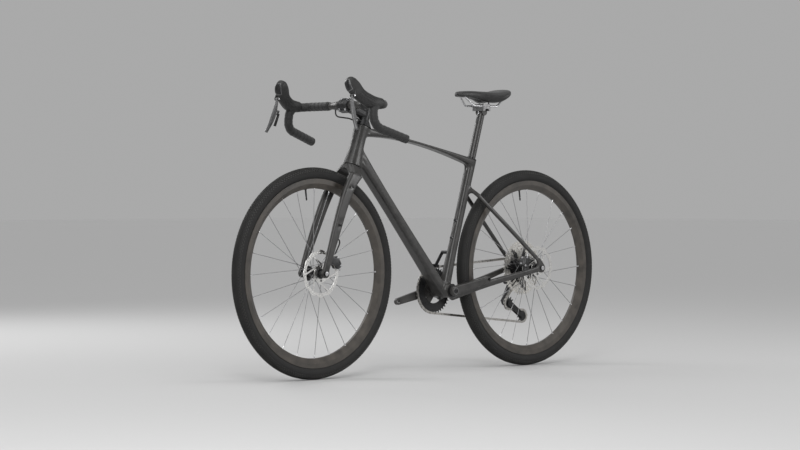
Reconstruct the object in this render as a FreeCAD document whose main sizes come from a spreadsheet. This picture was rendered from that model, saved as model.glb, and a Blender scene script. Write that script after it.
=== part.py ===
import FreeCAD, Part
import math
import os
import Sketcher
from types import SimpleNamespace

# A gravel bicycle in millimetres. X points forward, Y to the rider's left and Z up.
# The origin lies on the ground, midway between the two wheels.

Vector = FreeCAD.Vector
Placement = FreeCAD.Placement
AHEAD = Vector(1, 0, 0)
LEFT = Vector(0, 1, 0)
UP = Vector(0, 0, 1)

SIZES = {
    # Layout of the frame and wheels
    "wheelbase": 1053.0,
    "bb_drop": 73.0,
    "bb_to_rear_axle": 431.0,
    "head_angle": 71.0,
    "seat_angle": 73.0,
    "fork_rake": 49.0,
    "fork_length": 399.0,
    # Clearances
    "running_fit": 0.05,
    "moving_gap": 0.3,
    "cut_margin": 2.0,
    # Head tube and its bearings
    "head_tube_length": 144.0,
    "head_lower_width": 58.0,
    "head_lower_depth": 62.0,
    "head_waist_width": 45.0,
    "head_waist_depth": 48.0,
    "head_waist_height": 85.0,
    "head_upper_width": 50.0,
    "head_upper_depth": 52.0,
    "head_roundness": 0.46,
    "lower_bearing_radius": 26.0,
    "upper_bearing_radius": 21.0,
    "bearing_height": 7.0,
    "head_bore_clearance": 1.5,
    "turning_room_radius": 38.0,
    "turning_room_height": 40.0,
    # Main tubes
    "tube_wall": 2.5,
    "tube_roundness": 0.4,
    "top_tube_seat_height": 488.0,
    "top_tube_neck": 85.0,
    "top_tube_tail": 75.0,
    "top_tube_head_height": 38.0,
    "top_tube_head_width": 44.0,
    "top_tube_neck_height": 22.0,
    "top_tube_neck_width": 42.0,
    "top_tube_tail_height": 20.0,
    "top_tube_tail_width": 39.0,
    "top_tube_seat_depth": 30.0,
    "top_tube_seat_width": 36.0,
    "down_tube_head_height": 49.0,
    "down_tube_bb_offset": 12.0,
    "down_tube_bb_ahead": 6.0,
    "down_tube_neck": 105.0,
    "down_tube_foot": 120.0,
    "down_tube_roundness": 0.3,
    "down_tube_head_depth": 48.0,
    "down_tube_head_width": 46.0,
    "down_tube_neck_depth": 37.0,
    "down_tube_neck_width": 47.0,
    "down_tube_foot_depth": 36.0,
    "down_tube_foot_width": 52.0,
    "down_tube_bb_depth": 28.0,
    "down_tube_bb_width": 64.0,
    "seat_tube_length": 484.0,
    "seat_tube_waist": 130.0,
    "seat_tube_bb_width": 42.0,
    "seat_tube_bb_depth": 36.0,
    "seat_tube_width": 31.0,
    "seat_tube_depth": 32.5,
    "seat_tube_top_width": 32.5,
    "seat_tube_top_depth": 34.5,
    "seat_collar_height": 4.0,
    "seat_collar_slant": 12.0,
    # Bottom bracket
    "bb_shell_radius": 26.0,
    "bb_shell_width": 86.0,
    "bb_cup_radius": 21.0,
    "bb_cup_depth": 18.0,
    "bb_flange_radius": 23.0,
    "bb_flange_width": 2.5,
    # Stays and dropouts
    "stay_root_back": 6.0,
    "stay_root_drop": 18.0,
    "stay_root_side": 32.0,
    "stay_root_width": 22.0,
    "stay_root_height": 34.0,
    "stay_neck_share": 0.16,
    "stay_neck_side": 35.0,
    "stay_neck_width": 15.0,
    "stay_neck_height": 28.0,
    "stay_wheel_share": 0.44,
    "stay_wheel_side": 38.5,
    "stay_wheel_width": 14.0,
    "stay_wheel_height": 24.0,
    "stay_heel_share": 0.82,
    "stay_heel_side": 66.0,
    "stay_heel_width": 13.0,
    "stay_heel_height": 20.0,
    "stay_end_height": 20.0,
    "dropout_radius": 18.0,
    "dropout_horn_radius": 9.0,
    "dropout_inner": 71.0,
    "dropout_thickness": 8.0,
    "seatstay_height": 384.0,
    "seatstay_root_side": 7.0,
    "seatstay_root_size": 13.0,
    "seatstay_shoulder_back": 34.0,
    "seatstay_shoulder_drop": 32.0,
    "seatstay_shoulder_side": 30.0,
    "seatstay_mid_share": 0.5,
    "seatstay_mid_side": 54.0,
    "seatstay_width": 12.0,
    "seatstay_depth": 15.0,
    "seatstay_end_width": 6.0,
    "seatstay_end_rise": 26.0,
    "seatstay_end_ahead": 12.0,
    # Bottle bosses
    "boss_radius": 5.0,
    "boss_depth": 12.0,
    "boss_stand": 1.5,
    "boss_thread_radius": 2.5,
    "boss_spacing": 64.0,
    "down_boss_distance": 235.0,
    "seat_boss_distance": 190.0,
    # Seatpost and saddle
    "seatpost_radius": 13.6,
    "seatpost_length": 330.0,
    "seatpost_rise": 662.0,
    "post_bore_depth": 330.0,
    "post_head_radius": 12.0,
    "post_head_width": 34.0,
    "clamp_length": 38.0,
    "clamp_width": 58.0,
    "clamp_height": 24.0,
    "clamp_cap": 7.0,
    "clamp_corner": 6.0,
    "clamp_swing_room": 4.0,
    "clamp_bolt_radius": 3.0,
    "clamp_bolt_head": 3.0,
    "rail_radius": 3.5,
    "rail_side": 22.0,
    "rail_height": 21.0,
    "rail_bend_radius": 18.0,
    "rail_straight_ahead": 62.0,
    "rail_straight_back": 58.0,
    "rail_nose_ahead": 100.0,
    "rail_nose_side": 10.0,
    "rail_tail_back": 84.0,
    "rail_tail_side": 38.0,
    "rail_end_rise": 34.0,
    "saddle_length": 236.0,
    "saddle_nose_ahead": 128.0,
    "saddle_top_height": 52.0,
    "saddle_tail_rise": 7.0,
    "saddle_neck_rise": 2.0,
    "saddle_nose_droop": 6.0,
    "saddle_nose_width": 36.0,
    "saddle_nose_thickness": 18.0,
    "saddle_neck_width": 45.0,
    "saddle_neck_thickness": 25.0,
    "saddle_hip_width": 104.0,
    "saddle_hip_thickness": 34.0,
    "saddle_wing_width": 138.0,
    "saddle_wing_thickness": 33.0,
    "saddle_tail_width": 60.0,
    "saddle_tail_thickness": 20.0,
    "saddle_neck_from_nose": 62.0,
    "saddle_hip_from_nose": 146.0,
    "saddle_wing_from_nose": 196.0,
    "saddle_roundness": 0.42,
    # Fork
    "steerer_lower_radius": 19.05,
    "steerer_upper_radius": 14.3,
    "steerer_bore_radius": 11.0,
    "steerer_taper_start": 12.0,
    "steerer_taper_end": 70.0,
    "steerer_above_head": 58.0,
    "crown_mid_drop": 18.0,
    "crown_mid_width": 84.0,
    "crown_mid_depth": 57.0,
    "crown_drop": 36.0,
    "crown_width": 104.0,
    "crown_depth": 53.0,
    "crown_arch_radius": 31.0,
    "crown_arch_drop": 50.0,
    "crown_set": 8.0,
    "leg_wall": 3.0,
    "leg_roundness": 0.42,
    "leg_top_side": 41.5,
    "leg_top_width": 21.0,
    "leg_shoulder_drop": 85.0,
    "leg_shoulder_set": 27.0,
    "leg_shoulder_side": 45.0,
    "leg_shoulder_width": 21.0,
    "leg_shoulder_depth": 44.0,
    "leg_mid_drop": 170.0,
    "leg_mid_set": 40.0,
    "leg_mid_side": 49.0,
    "leg_mid_width": 19.0,
    "leg_mid_depth": 39.0,
    "leg_low_drop": 300.0,
    "leg_low_set": 47.5,
    "leg_low_side": 55.0,
    "leg_low_width": 15.0,
    "leg_low_depth": 31.0,
    "leg_end_width": 12.0,
    "leg_end_depth": 26.0,
    "fork_dropout_radius": 15.0,
    "fork_dropout_inner": 50.0,
    "fork_dropout_thickness": 12.0,
    "leg_boss_high": 85.0,
    "leg_boss_low": 225.0,
    # Through axles
    "axle_radius": 6.0,
    "axle_head_radius": 8.5,
    "axle_head_width": 3.0,
    "axle_key_radius": 3.0,
    "axle_key_depth": 10.0,
    # Stem, spacers and bar
    "spacer_height": 20.0,
    "spacer_low_depth": 62.0,
    "spacer_low_width": 50.0,
    "spacer_low_back": 4.0,
    "spacer_top_depth": 42.0,
    "spacer_top_width": 40.0,
    "stem_clamp_radius": 19.5,
    "stem_clamp_height": 40.0,
    "stem_width": 33.0,
    "stem_depth": 34.0,
    "stem_bar_width": 40.0,
    "stem_bar_depth": 34.0,
    "stem_bar_radius": 20.5,
    "stem_bar_length": 46.0,
    "stem_face_gap": 1.5,
    "top_cap_radius": 16.0,
    "top_cap_height": 4.0,
    "stem_bolt_radius": 2.5,
    "stem_bolt_head_radius": 4.0,
    "stem_bolt_length": 16.0,
    "stem_bolt_rise": 19.2,
    "stem_bolt_side": 15.0,
    "bar_forward": 88.0,
    "bar_height": 920.0,
    "bar_clamp_radius": 15.9,
    "bar_clamp_half": 36.0,
    "bar_taper_end": 64.0,
    "bar_radius": 11.9,
    "bar_half_width": 204.0,
    "bar_bend_radius": 40.0,
    "bar_reach": 72.0,
    "bar_ramp_drop": 6.0,
    "bar_hook_radius": 30.0,
    "bar_hook_drop": 76.0,
    "bar_hook_flare": 10.0,
    "bar_drop_radius": 41.0,
    "bar_end_back": 54.0,
    "bar_end_drop": 116.0,
    "bar_end_flare": 28.0,
    "tape_radius": 15.4,
    "tape_start": 84.0,
    "plug_radius": 14.6,
    "plug_length": 5.0,
    # Hoods and levers
    "hood_width": 35.0,
    "hood_roundness": 0.46,
    "hood_cuff_ahead": 37.0,
    "hood_cuff_in": 1.0,
    "hood_cuff_rise": 0.0,
    "hood_cuff_height": 35.0,
    "hood_ramp_ahead": 77.0,
    "hood_ramp_in": 4.0,
    "hood_ramp_rise": 6.0,
    "hood_ramp_height": 45.0,
    "hood_neck_ahead": 111.0,
    "hood_neck_in": 16.0,
    "hood_neck_rise": 26.0,
    "hood_neck_height": 44.0,
    "hood_horn_ahead": 131.0,
    "hood_horn_in": 27.0,
    "hood_horn_rise": 52.0,
    "hood_horn_height": 54.0,
    "hood_brow_ahead": 141.0,
    "hood_brow_in": 33.0,
    "hood_brow_rise": 70.0,
    "hood_brow_height": 42.0,
    "hood_cap_ahead": 146.0,
    "hood_cap_in": 35.0,
    "hood_cap_rise": 80.0,
    "hood_cap_height": 17.0,
    "hood_cap_width": 18.0,
    "ear_thickness": 3.0,
    "ear_radius": 6.5,
    "ear_share": 0.55,
    "lever_clearance": 1.5,
    "lever_pivot_ahead": 144.0,
    "lever_pivot_in": 18.0,
    "lever_pivot_rise": 24.0,
    "lever_root_ahead": 147.0,
    "lever_root_in": 18.0,
    "lever_root_rise": 12.0,
    "lever_mid_ahead": 150.5,
    "lever_mid_in": 11.5,
    "lever_mid_rise": -18.0,
    "lever_low_ahead": 156.0,
    "lever_low_in": -2.0,
    "lever_low_rise": -56.0,
    "lever_tip_ahead": 162.0,
    "lever_tip_in": -20.0,
    "lever_tip_rise": -88.0,
    "lever_pin_radius": 2.0,
    "lever_boss_radius": 5.6,
    "lever_boss_width": 11.0,
    "lever_root_width": 9.0,
    "lever_root_depth": 10.0,
    "lever_mid_width": 9.0,
    "lever_mid_depth": 16.0,
    "lever_low_depth": 15.0,
    "lever_tip_width": 9.0,
    "lever_tip_depth": 11.0,
    "paddle_set": 17.0,
    "paddle_width": 4.0,
    "paddle_root_depth": 9.0,
    "paddle_depth": 11.0,
    "paddle_length": 44.0,
    "paddle_lug_height": 5.0,
    "paddle_barrel_radius": 3.5,
    "paddle_barrel_length": 12.0,
    "paddle_pin_radius": 1.5,
    # Hoses
    "hose_radius": 2.5,
    "hose_bend_radius": 14.0,
    "hose_bar_side": 52.0,
    "hose_drop_ahead": 4.0,
    "hose_drop_side": 46.0,
    "hose_drop": 36.0,
    "hose_low_ahead": 48.0,
    "hose_low_side": 18.0,
    "hose_entry_drop": 10.0,
    "hose_entry_side": 9.0,
    "hose_port_inset": 6.0,
    "hose_port_side": 6.0,
    "hose_leg_drop": 270.0,
    "hose_leg_bend_ahead": 8.0,
    "hose_leg_bend_side": 47.0,
    # Wheels
    "rim_radius": 317.0,
    "rim_depth": 33.0,
    "rim_width": 30.0,
    "rim_wall": 2.6,
    "rim_bed_depth": 9.0,
    "rim_shoulder_depth": 16.0,
    "rim_nose_width": 9.0,
    "tyre_section": 44.0,
    "tyre_wall": 3.5,
    "tyre_seat_depth": 6.0,
    "bead_opening": 18.0,
    "spoke_count": 24.0,
    "spoke_crossings": 2.0,
    "spoke_radius": 0.9,
    "spoke_set": 2.0,
    "spoke_rim_side": 3.0,
    "spoke_rim_bite": 2.0,
    "front_flange_radius": 22.0,
    "front_flange_left": 19.0,
    "front_flange_right": 29.0,
    "rear_flange_radius": 27.0,
    "rear_flange_left": 34.0,
    "rear_flange_right": 14.0,
    "flange_thickness": 3.2,
    "front_shell_radius": 13.0,
    "rear_shell_radius": 16.0,
    "hub_end_radius": 11.0,
    "hub_collar_radius": 15.0,
    "front_rotor_side": 34.7,
    "rear_rotor_side": 55.7,
    # Brakes
    "rotor_radius": 80.0,
    "rotor_thickness": 1.8,
    "rotor_ring_depth": 14.0,
    "rotor_arms": 6.0,
    "rotor_arm_radius": 4.5,
    "rotor_arm_lean": 24.0,
    "rotor_carrier_radius": 22.0,
    "rotor_slots": 24.0,
    "rotor_outer_row": 0.28,
    "rotor_inner_row": 0.72,
    "rotor_hole_radius": 2.2,
    "caliper_length": 56.0,
    "caliper_height": 34.0,
    "caliper_corner": 9.0,
    "caliper_inboard": 12.5,
    "caliper_outboard": 16.0,
    "caliper_reach": 74.0,
    "caliper_slot_height": 25.0,
    "front_caliper_angle": 42.0,
    "rear_caliper_angle": 18.0,
    "caliper_foot_length": 30.0,
    "caliper_foot_width": 14.0,
    "caliper_foot_reach": 44.0,
    "pad_length": 24.0,
    "pad_height": 16.0,
    "pad_thickness": 3.2,
    "pad_corner": 3.0,
    "pad_travel": 0.5,
    "pad_back_gap": 0.4,
    # Crankset
    "crank_length": 172.5,
    "crank_angle": 12.0,
    "crank_boss_radius": 17.0,
    "crank_end_radius": 11.5,
    "left_crank_inner": 47.0,
    "left_crank_thickness": 15.0,
    "right_crank_inner": 55.0,
    "right_crank_thickness": 13.0,
    "crank_edge_radius": 4.0,
    "spindle_radius": 12.0,
    "pedal_thread_radius": 7.14,
    "spider_arms": 4.0,
    "spider_reach": 55.0,
    "spider_root_radius": 16.0,
    "spider_end_radius": 9.0,
    # Chain drive
    "chain_pitch": 12.7,
    "chainring_teeth": 40.0,
    "chainring_side": 49.0,
    "chainring_bore": 46.0,
    "sprocket_thickness": 1.6,
    "tooth_root_depth": 4.2,
    "tooth_height": 3.0,
    "tooth_root_gap": 3.0,
    "tooth_tip_gap": 5.6,
    "tooth_gap_share": 0.9,
    "first_cog_side": 20.5,
    "cog_step": 3.75,
    "freehub_radius": 14.5,
    "freehub_inner": 18.0,
    "roller_radius": 3.8,
    "link_pin_radius": 1.8,
    "link_pin_fit": 0.15,
    "link_plate_radius": 3.9,
    "link_plate_thickness": 0.7,
    "inner_plate_side": 1.3,
    "outer_plate_side": 2.15,
    "pulley_teeth": 11.0,
    "pulley_thickness": 1.6,
    "guide_pulley_ahead": 42.0,
    "guide_pulley_drop": 130.0,
    "cage_length": 86.0,
    "cage_angle": 219.0,
    "cage_search": 12.0,
    # Derailleur
    "hanger_radius": 15.0,
    "hanger_thickness": 5.0,
    "hanger_bolt_back": 6.0,
    "hanger_bolt_drop": 30.0,
    "hanger_bolt_radius": 8.0,
    "cage_plate_side": 4.2,
    "cage_plate_thickness": 1.8,
    "cage_plate_radius": 10.0,
    "pulley_axle_radius": 2.5,
    "knuckle_radius": 9.0,
    "cage_knuckle_width": 20.0,
    "link_length": 46.0,
    "link_lean": 30.0,
    "link_slant": 30.0,
    "link_width": 13.0,
    "link_end_radius": 6.5,
    "link_pin_size": 2.5,
    "cheek_thickness": 3.0,
    "cheek_length": 18.0,
    "link_outboard": 22.0,
    "link_above_guide": 21.0,
    "knuckle_stand": 12.0,
    # Chain guide
    "guide_clearance": 6.0,
    "guide_wall": 1.2,
    "guide_length": 28.0,
    "guide_skirt": 9.0,
    "guide_slot": 6.8,
    "guide_angle": 96.0,
    "guide_arm_height": 140.0,
    "guide_arm_radius": 6.0,
    "guide_arm_thickness": 3.0,
}

COG_TEETH = (48, 42, 36, 32, 28, 24, 21, 18, 16, 14, 12, 10)
CHAIN_COG = COG_TEETH.index(18)
HORN_STATION = 3

doc = FreeCAD.newDocument("gravel_bike")
sheet = doc.addObject("Spreadsheet::Sheet", "dim")
for row, (alias, value) in enumerate(SIZES.items(), start=1):
    sheet.set(f"A{row}", alias)
    sheet.set(f"B{row}", str(value))
    sheet.setAlias(f"B{row}", alias)
doc.recompute()


class Size:
    """A number together with the spreadsheet expression that gives it."""

    def __init__(self, number, expression):
        self.number = number
        self.expression = expression

    def __float__(self):
        return self.number

    def __add__(self, other):
        return Size(self.number + float(other), f"({self.expression} + {text_of(other)})")

    def __radd__(self, other):
        return Size(float(other) + self.number, f"({text_of(other)} + {self.expression})")

    def __sub__(self, other):
        return Size(self.number - float(other), f"({self.expression} - {text_of(other)})")

    def __rsub__(self, other):
        return Size(float(other) - self.number, f"({text_of(other)} - {self.expression})")

    def __mul__(self, other):
        return Size(self.number * float(other), f"({self.expression} * {text_of(other)})")

    __rmul__ = __mul__

    def __truediv__(self, other):
        return Size(self.number / float(other), f"({self.expression} / {text_of(other)})")

    def __neg__(self):
        return Size(-self.number, f"(-{self.expression})")


def text_of(value):
    """The expression of a size, or a plain number as text."""
    if isinstance(value, Size):
        return value.expression
    return repr(float(value))


def smaller(first, second):
    """The lesser of two sizes, as a size."""
    return Size(min(float(first), float(second)), f"min({text_of(first)}; {text_of(second)})")


d = SimpleNamespace(**{alias: Size(float(sheet.get(alias)), "dim." + alias) for alias in SIZES})
NODES = []


# Building blocks

def vec(x, y, z):
    return Vector(float(x), float(y), float(z))


def along(direction, distance):
    """A direction times a size."""
    return Vector(direction) * float(distance)


def turned(angle):
    """The direction in the XZ plane at an angle from forward, counted upwards."""
    radians = math.radians(float(angle))
    return Vector(math.cos(radians), 0, math.sin(radians))


def place(origin, z_axis, x_axis):
    """A placement with its Z axis along one direction and its X axis towards another."""
    z = Vector(z_axis).normalize()
    y = z.cross(Vector(x_axis)).normalize()
    x = y.cross(z)
    return Placement(origin, FreeCAD.Rotation(x, y, z, "ZXY"))


def drive(obj, **sizes):
    """Set an object's sizes, as expressions where they come from the spreadsheet."""
    for name, size in sizes.items():
        if isinstance(size, Size):
            obj.setExpression(name, size.expression)
        else:
            setattr(obj, name, size)
    return obj


def node(label, obj):
    """Give a finished piece the name of its file."""
    obj.Label = label
    NODES.append(obj)
    return obj


def cylinder(name, origin, axis, radius, height):
    obj = doc.addObject("Part::Cylinder", name)
    drive(obj, Radius=radius, Height=height)
    across = AHEAD if abs(Vector(axis).normalize().x) < 0.9 else LEFT
    obj.Placement = place(origin, axis, across)
    return obj


def cross_cylinder(name, centre, low, high, radius):
    """A cylinder along Y between two distances to the left of a point."""
    return cylinder(name, centre + along(LEFT, low), LEFT, radius, high - low)


def torus(name, centre, ring_radius, tube_radius):
    """A ring round the Y axis through a point."""
    obj = doc.addObject("Part::Torus", name)
    drive(obj, Radius1=ring_radius, Radius2=tube_radius)
    obj.Placement = place(centre, LEFT, AHEAD)
    return obj


def fuse(name, *pieces):
    obj = doc.addObject("Part::MultiFuse", name)
    obj.Shapes = list(pieces)
    return obj


def cut(name, base, *tools):
    obj = doc.addObject("Part::Cut", name)
    obj.Base = base
    obj.Tool = tools[0] if len(tools) == 1 else fuse(name + "_tools", *tools)
    return obj


def common(name, first, second):
    obj = doc.addObject("Part::Common", name)
    obj.Base = first
    obj.Tool = second
    return obj


def group(name, *pieces):
    """Separate solids that share one node."""
    obj = doc.addObject("Part::Compound", name)
    obj.Links = list(pieces)
    return obj


def mirrored(name, source):
    """The same piece on the other side of the bicycle's middle plane."""
    obj = doc.addObject("Part::Mirroring", name)
    obj.Source = source
    obj.Base = Vector(0, 0, 0)
    obj.Normal = LEFT
    return obj


def pair(name, source):
    """A piece and its mirror image in one node."""
    return group(name, source, mirrored(name + "_right", source))


def new_body(name):
    return doc.addObject("PartDesign::Body", name)


def origin_feature(body, role):
    return next(item for item in body.Origin.OriginFeatures if item.Role == role)


def new_sketch(body, offset=None):
    """A sketch on the body's XY plane, moved by an offset."""
    sketch = body.newObject("Sketcher::SketchObject", "profile")
    sketch.AttachmentSupport = [(origin_feature(body, "XY_Plane"), "")]
    sketch.MapMode = "FlatFace"
    if offset is not None:
        sketch.AttachmentOffset = offset
    return sketch


def constrain(sketch, *terms):
    """Add a dimension whose last term is a size."""
    *geometry, size = terms
    index = sketch.addConstraint(Sketcher.Constraint(*geometry, float(size)))
    if isinstance(size, Size):
        sketch.setExpression(f"Constraints[{index}]", size.expression)


def draw_circle(sketch, radius):
    """A circle about the sketch's origin."""
    index = sketch.addGeometry(Part.Circle(Vector(0, 0, 0), UP, float(radius)))
    sketch.addConstraint(Sketcher.Constraint("Coincident", index, 3, -1, 1))
    constrain(sketch, "Radius", index, radius)


def draw_rounded_rectangle(sketch, width, height, corner):
    """A centred rectangle with round corners: sides 0 to 3 clockwise from the top, then corners."""
    w = float(width) / 2
    h = float(height) / 2
    r = float(corner)
    sides = (((r - w, h), (w - r, h)), ((w, h - r), (w, r - h)),
             ((w - r, -h), (r - w, -h)), ((-w, r - h), (-w, h - r)))
    for start, end in sides:
        sketch.addGeometry(Part.LineSegment(Vector(*start, 0), Vector(*end, 0)))
    corners = ((w - r, h - r, 0), (w - r, r - h, 270), (r - w, r - h, 180), (r - w, h - r, 90))
    for x, y, first in corners:
        circle = Part.Circle(Vector(x, y, 0), UP, r)
        sketch.addGeometry(Part.ArcOfCircle(circle, math.radians(first), math.radians(first + 90)))
    joins = ((0, 2, 4, 2), (1, 1, 4, 1), (1, 2, 5, 2), (2, 1, 5, 1),
             (2, 2, 6, 2), (3, 1, 6, 1), (3, 2, 7, 2), (0, 1, 7, 1))
    sketch.addConstraint([Sketcher.Constraint("Tangent", *join) for join in joins])
    sketch.addConstraint([Sketcher.Constraint("Horizontal", 0), Sketcher.Constraint("Horizontal", 2),
                          Sketcher.Constraint("Vertical", 1), Sketcher.Constraint("Vertical", 3)])
    sketch.addConstraint([Sketcher.Constraint("Equal", first, first + 1) for first in (4, 5, 6)])
    sketch.addConstraint(Sketcher.Constraint("Symmetric", 0, 1, 2, 1, -1, 1))
    constrain(sketch, "DistanceX", 3, 1, 1, 1, width)
    constrain(sketch, "DistanceY", 2, 1, 0, 1, height)
    constrain(sketch, "Radius", 4, corner)


def draw_polygon(sketch, corners):
    """A closed outline through corners at sizes to the right of and above the origin."""
    points = [Vector(float(x), float(y), 0) for x, y in corners]
    count = len(points)
    for index in range(count):
        sketch.addGeometry(Part.LineSegment(points[index], points[(index + 1) % count]))
    for index, (x, y) in enumerate(corners):
        sketch.addConstraint(Sketcher.Constraint("Coincident", index, 2, (index + 1) % count, 1))
        constrain(sketch, "DistanceX", -1, 1, index, 1, x)
        constrain(sketch, "DistanceY", -1, 1, index, 1, y)


def draw_link(sketch, length, start_radius, end_radius):
    """Two round ends on the X axis joined by their outer tangents."""
    reach = float(length)
    r1 = float(start_radius)
    r2 = float(end_radius)
    lean = math.acos((r1 - r2) / reach)
    tip = Vector(math.cos(lean), math.sin(lean), 0)
    foot = Vector(tip.x, -tip.y, 0)
    far = Vector(reach, 0, 0)
    near_circle = Part.Circle(Vector(0, 0, 0), UP, r1)
    far_circle = Part.Circle(far, UP, r2)
    sketch.addGeometry(Part.ArcOfCircle(near_circle, lean, 2 * math.pi - lean))
    sketch.addGeometry(Part.LineSegment(foot * r1, far + foot * r2))
    sketch.addGeometry(Part.ArcOfCircle(far_circle, -lean, lean))
    sketch.addGeometry(Part.LineSegment(far + tip * r2, tip * r1))
    joins = ((0, 2, 1, 1), (1, 2, 2, 1), (2, 2, 3, 1), (3, 2, 0, 1))
    sketch.addConstraint([Sketcher.Constraint("Tangent", *join) for join in joins])
    sketch.addConstraint(Sketcher.Constraint("Coincident", 0, 3, -1, 1))
    sketch.addConstraint(Sketcher.Constraint("PointOnObject", 2, 3, -1))
    constrain(sketch, "DistanceX", -1, 1, 2, 3, length)
    constrain(sketch, "Radius", 0, start_radius)
    constrain(sketch, "Radius", 2, end_radius)


def pad(body, sketch, length):
    feature = body.newObject("PartDesign::Pad", "pad")
    feature.Profile = sketch
    drive(feature, Length=length)
    return feature


def block(name, origin, z_axis, x_axis, length, width, height, corner):
    """A block with rounded upright edges: length along X, width along Y, height up its own Z."""
    body = new_body(name)
    sketch = new_sketch(body)
    draw_rounded_rectangle(sketch, length, width, corner)
    pad(body, sketch, height)
    body.Placement = place(origin, z_axis, x_axis)
    return body


def link_plate(name, start, end, normal, start_radius, end_radius, thickness, length=None):
    """A plate with two round ends, from one point to another, rising along a normal."""
    body = new_body(name)
    sketch = new_sketch(body)
    reach = (end - start).Length if length is None else length
    draw_link(sketch, reach, start_radius, end_radius)
    pad(body, sketch, thickness)
    body.Placement = place(start, normal, end - start)
    return body


def loft(name, stations, roundness, shrink=0.0):
    """A solid through rounded sections, each an (origin, direction, width, height) station."""
    body = new_body(name)
    sections = []
    for origin, direction, width, height in stations:
        sketch = new_sketch(body, place(origin, direction, LEFT))
        wide = width - 2 * shrink
        tall = height - 2 * shrink
        draw_rounded_rectangle(sketch, wide, tall, smaller(wide, tall) * roundness)
        sections.append(sketch)
    feature = body.newObject("PartDesign::AdditiveLoft", "loft")
    feature.Profile = sections[0]
    feature.Sections = sections[1:]
    return body


def turned_body(name, origin, axis, corners):
    """A body turned about an axis, from corners given as (radius, distance along the axis)."""
    body = new_body(name)
    sketch = new_sketch(body)
    draw_polygon(sketch, corners)
    feature = body.newObject("PartDesign::Revolution", "turn")
    feature.Profile = sketch
    feature.ReferenceAxis = (sketch, ["V_Axis"])
    feature.Angle = 360.0
    up = Vector(axis).normalize()
    side = AHEAD if abs(up.x) < 0.9 else LEFT
    across = side - up * side.dot(up)
    body.Placement = place(origin, across.cross(up), across)
    return body


def round_corner(before, corner, after, radius):
    """The tangent arc at a corner of a route, as start, middle and end points."""
    back = (before - corner).normalize()
    onward = (after - corner).normalize()
    half = back.getAngle(onward) / 2
    bisector = (back + onward).normalize()
    setback = float(radius) / math.tan(half)
    centre = corner + bisector * (float(radius) / math.sin(half))
    return corner + back * setback, centre - bisector * float(radius), corner + onward * setback


def route(points, radii):
    """A wire of straight runs joined by tangent arcs, one radius for each inner point."""
    edges = []
    here = points[0]
    for index, radius in enumerate(radii, start=1):
        start, middle, end = round_corner(points[index - 1], points[index], points[index + 1], radius)
        if (start - here).Length > 0.01:
            edges.append(Part.LineSegment(here, start).toShape())
        edges.append(Part.Arc(start, middle, end).toShape())
        here = end
    edges.append(Part.LineSegment(here, points[-1]).toShape())
    return Part.Wire(edges)


def tube_along(name, points, radii, radius):
    """A round bar swept along a route."""
    spine = doc.addObject("Part::Feature", name + "_route")
    spine.Shape = route(points, radii)
    section = doc.addObject("Part::Circle", name + "_section")
    drive(section, Radius=radius)
    heading = points[1] - points[0]
    across = UP if abs(heading.normalize().z) < 0.9 else AHEAD
    section.Placement = place(points[0], heading, across)
    sweep = doc.addObject("Part::Sweep", name)
    sweep.Sections = [section]
    sweep.Spine = (spine, [f"Edge{index + 1}" for index in range(len(spine.Shape.Edges))])
    sweep.Solid = True
    sweep.Transition = "Transformed"
    return sweep


# Layout points

axle_height = d.rim_radius - d.tyre_seat_depth + d.tyre_section
rear_axle = vec(-d.wheelbase / 2, 0, axle_height)
front_axle = vec(d.wheelbase / 2, 0, axle_height)
bottom_bracket = rear_axle + vec(d.bb_to_rear_axle, 0, -d.bb_drop)
steer_up = turned(180 - d.head_angle)
steer_ahead = turned(90 - d.head_angle)
seat_up = turned(180 - d.seat_angle)
seat_ahead = turned(90 - d.seat_angle)
crown = front_axle + along(steer_up, d.fork_length) - along(steer_ahead, d.fork_rake)


def on_steerer(rise, ahead=0.0, side=0.0):
    """A point by its distance up the steering axis from the crown, ahead of it and to its left."""
    return crown + along(steer_up, rise) + along(steer_ahead, ahead) + along(LEFT, side)


def on_seat_tube(rise, ahead=0.0, side=0.0):
    """A point by its distance up the seat tube from the bottom bracket, ahead of it and to its left."""
    return bottom_bracket + along(seat_up, rise) + along(seat_ahead, ahead) + along(LEFT, side)


def between(start, end, share, side):
    """A point part of the way along a line, set at a distance to the left."""
    point = start + (end - start) * float(share)
    return vec(point.x, side, point.z)


# Frame

def head_stations():
    return ((on_steerer(0), steer_up, d.head_lower_width, d.head_lower_depth),
            (on_steerer(d.head_waist_height), steer_up, d.head_waist_width, d.head_waist_depth),
            (on_steerer(d.head_tube_length), steer_up, d.head_upper_width, d.head_upper_depth))


def top_tube_stations():
    front = on_steerer(d.head_tube_length)
    rear = on_seat_tube(d.top_tube_seat_height)
    slope = (rear - front).normalize()
    rise = LEFT.cross(slope)
    stations = ((front, d.top_tube_head_width, d.top_tube_head_height),
                (front + along(slope, d.top_tube_neck), d.top_tube_neck_width, d.top_tube_neck_height),
                (rear - along(slope, d.top_tube_tail), d.top_tube_tail_width, d.top_tube_tail_height),
                (rear, d.top_tube_seat_width, d.top_tube_seat_depth))
    return [(top - along(rise, height / 2), slope, width, height) for top, width, height in stations]


def down_tube_ends():
    head = on_steerer(d.down_tube_head_height)
    foot = bottom_bracket + vec(d.down_tube_bb_ahead, 0, -d.down_tube_bb_offset)
    return head, foot


def down_tube_stations():
    head, foot = down_tube_ends()
    slope = (foot - head).normalize()
    return ((head, slope, d.down_tube_head_width, d.down_tube_head_depth),
            (head + along(slope, d.down_tube_neck), slope, d.down_tube_neck_width, d.down_tube_neck_depth),
            (foot - along(slope, d.down_tube_foot), slope, d.down_tube_foot_width, d.down_tube_foot_depth),
            (foot, slope, d.down_tube_bb_width, d.down_tube_bb_depth))


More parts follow.
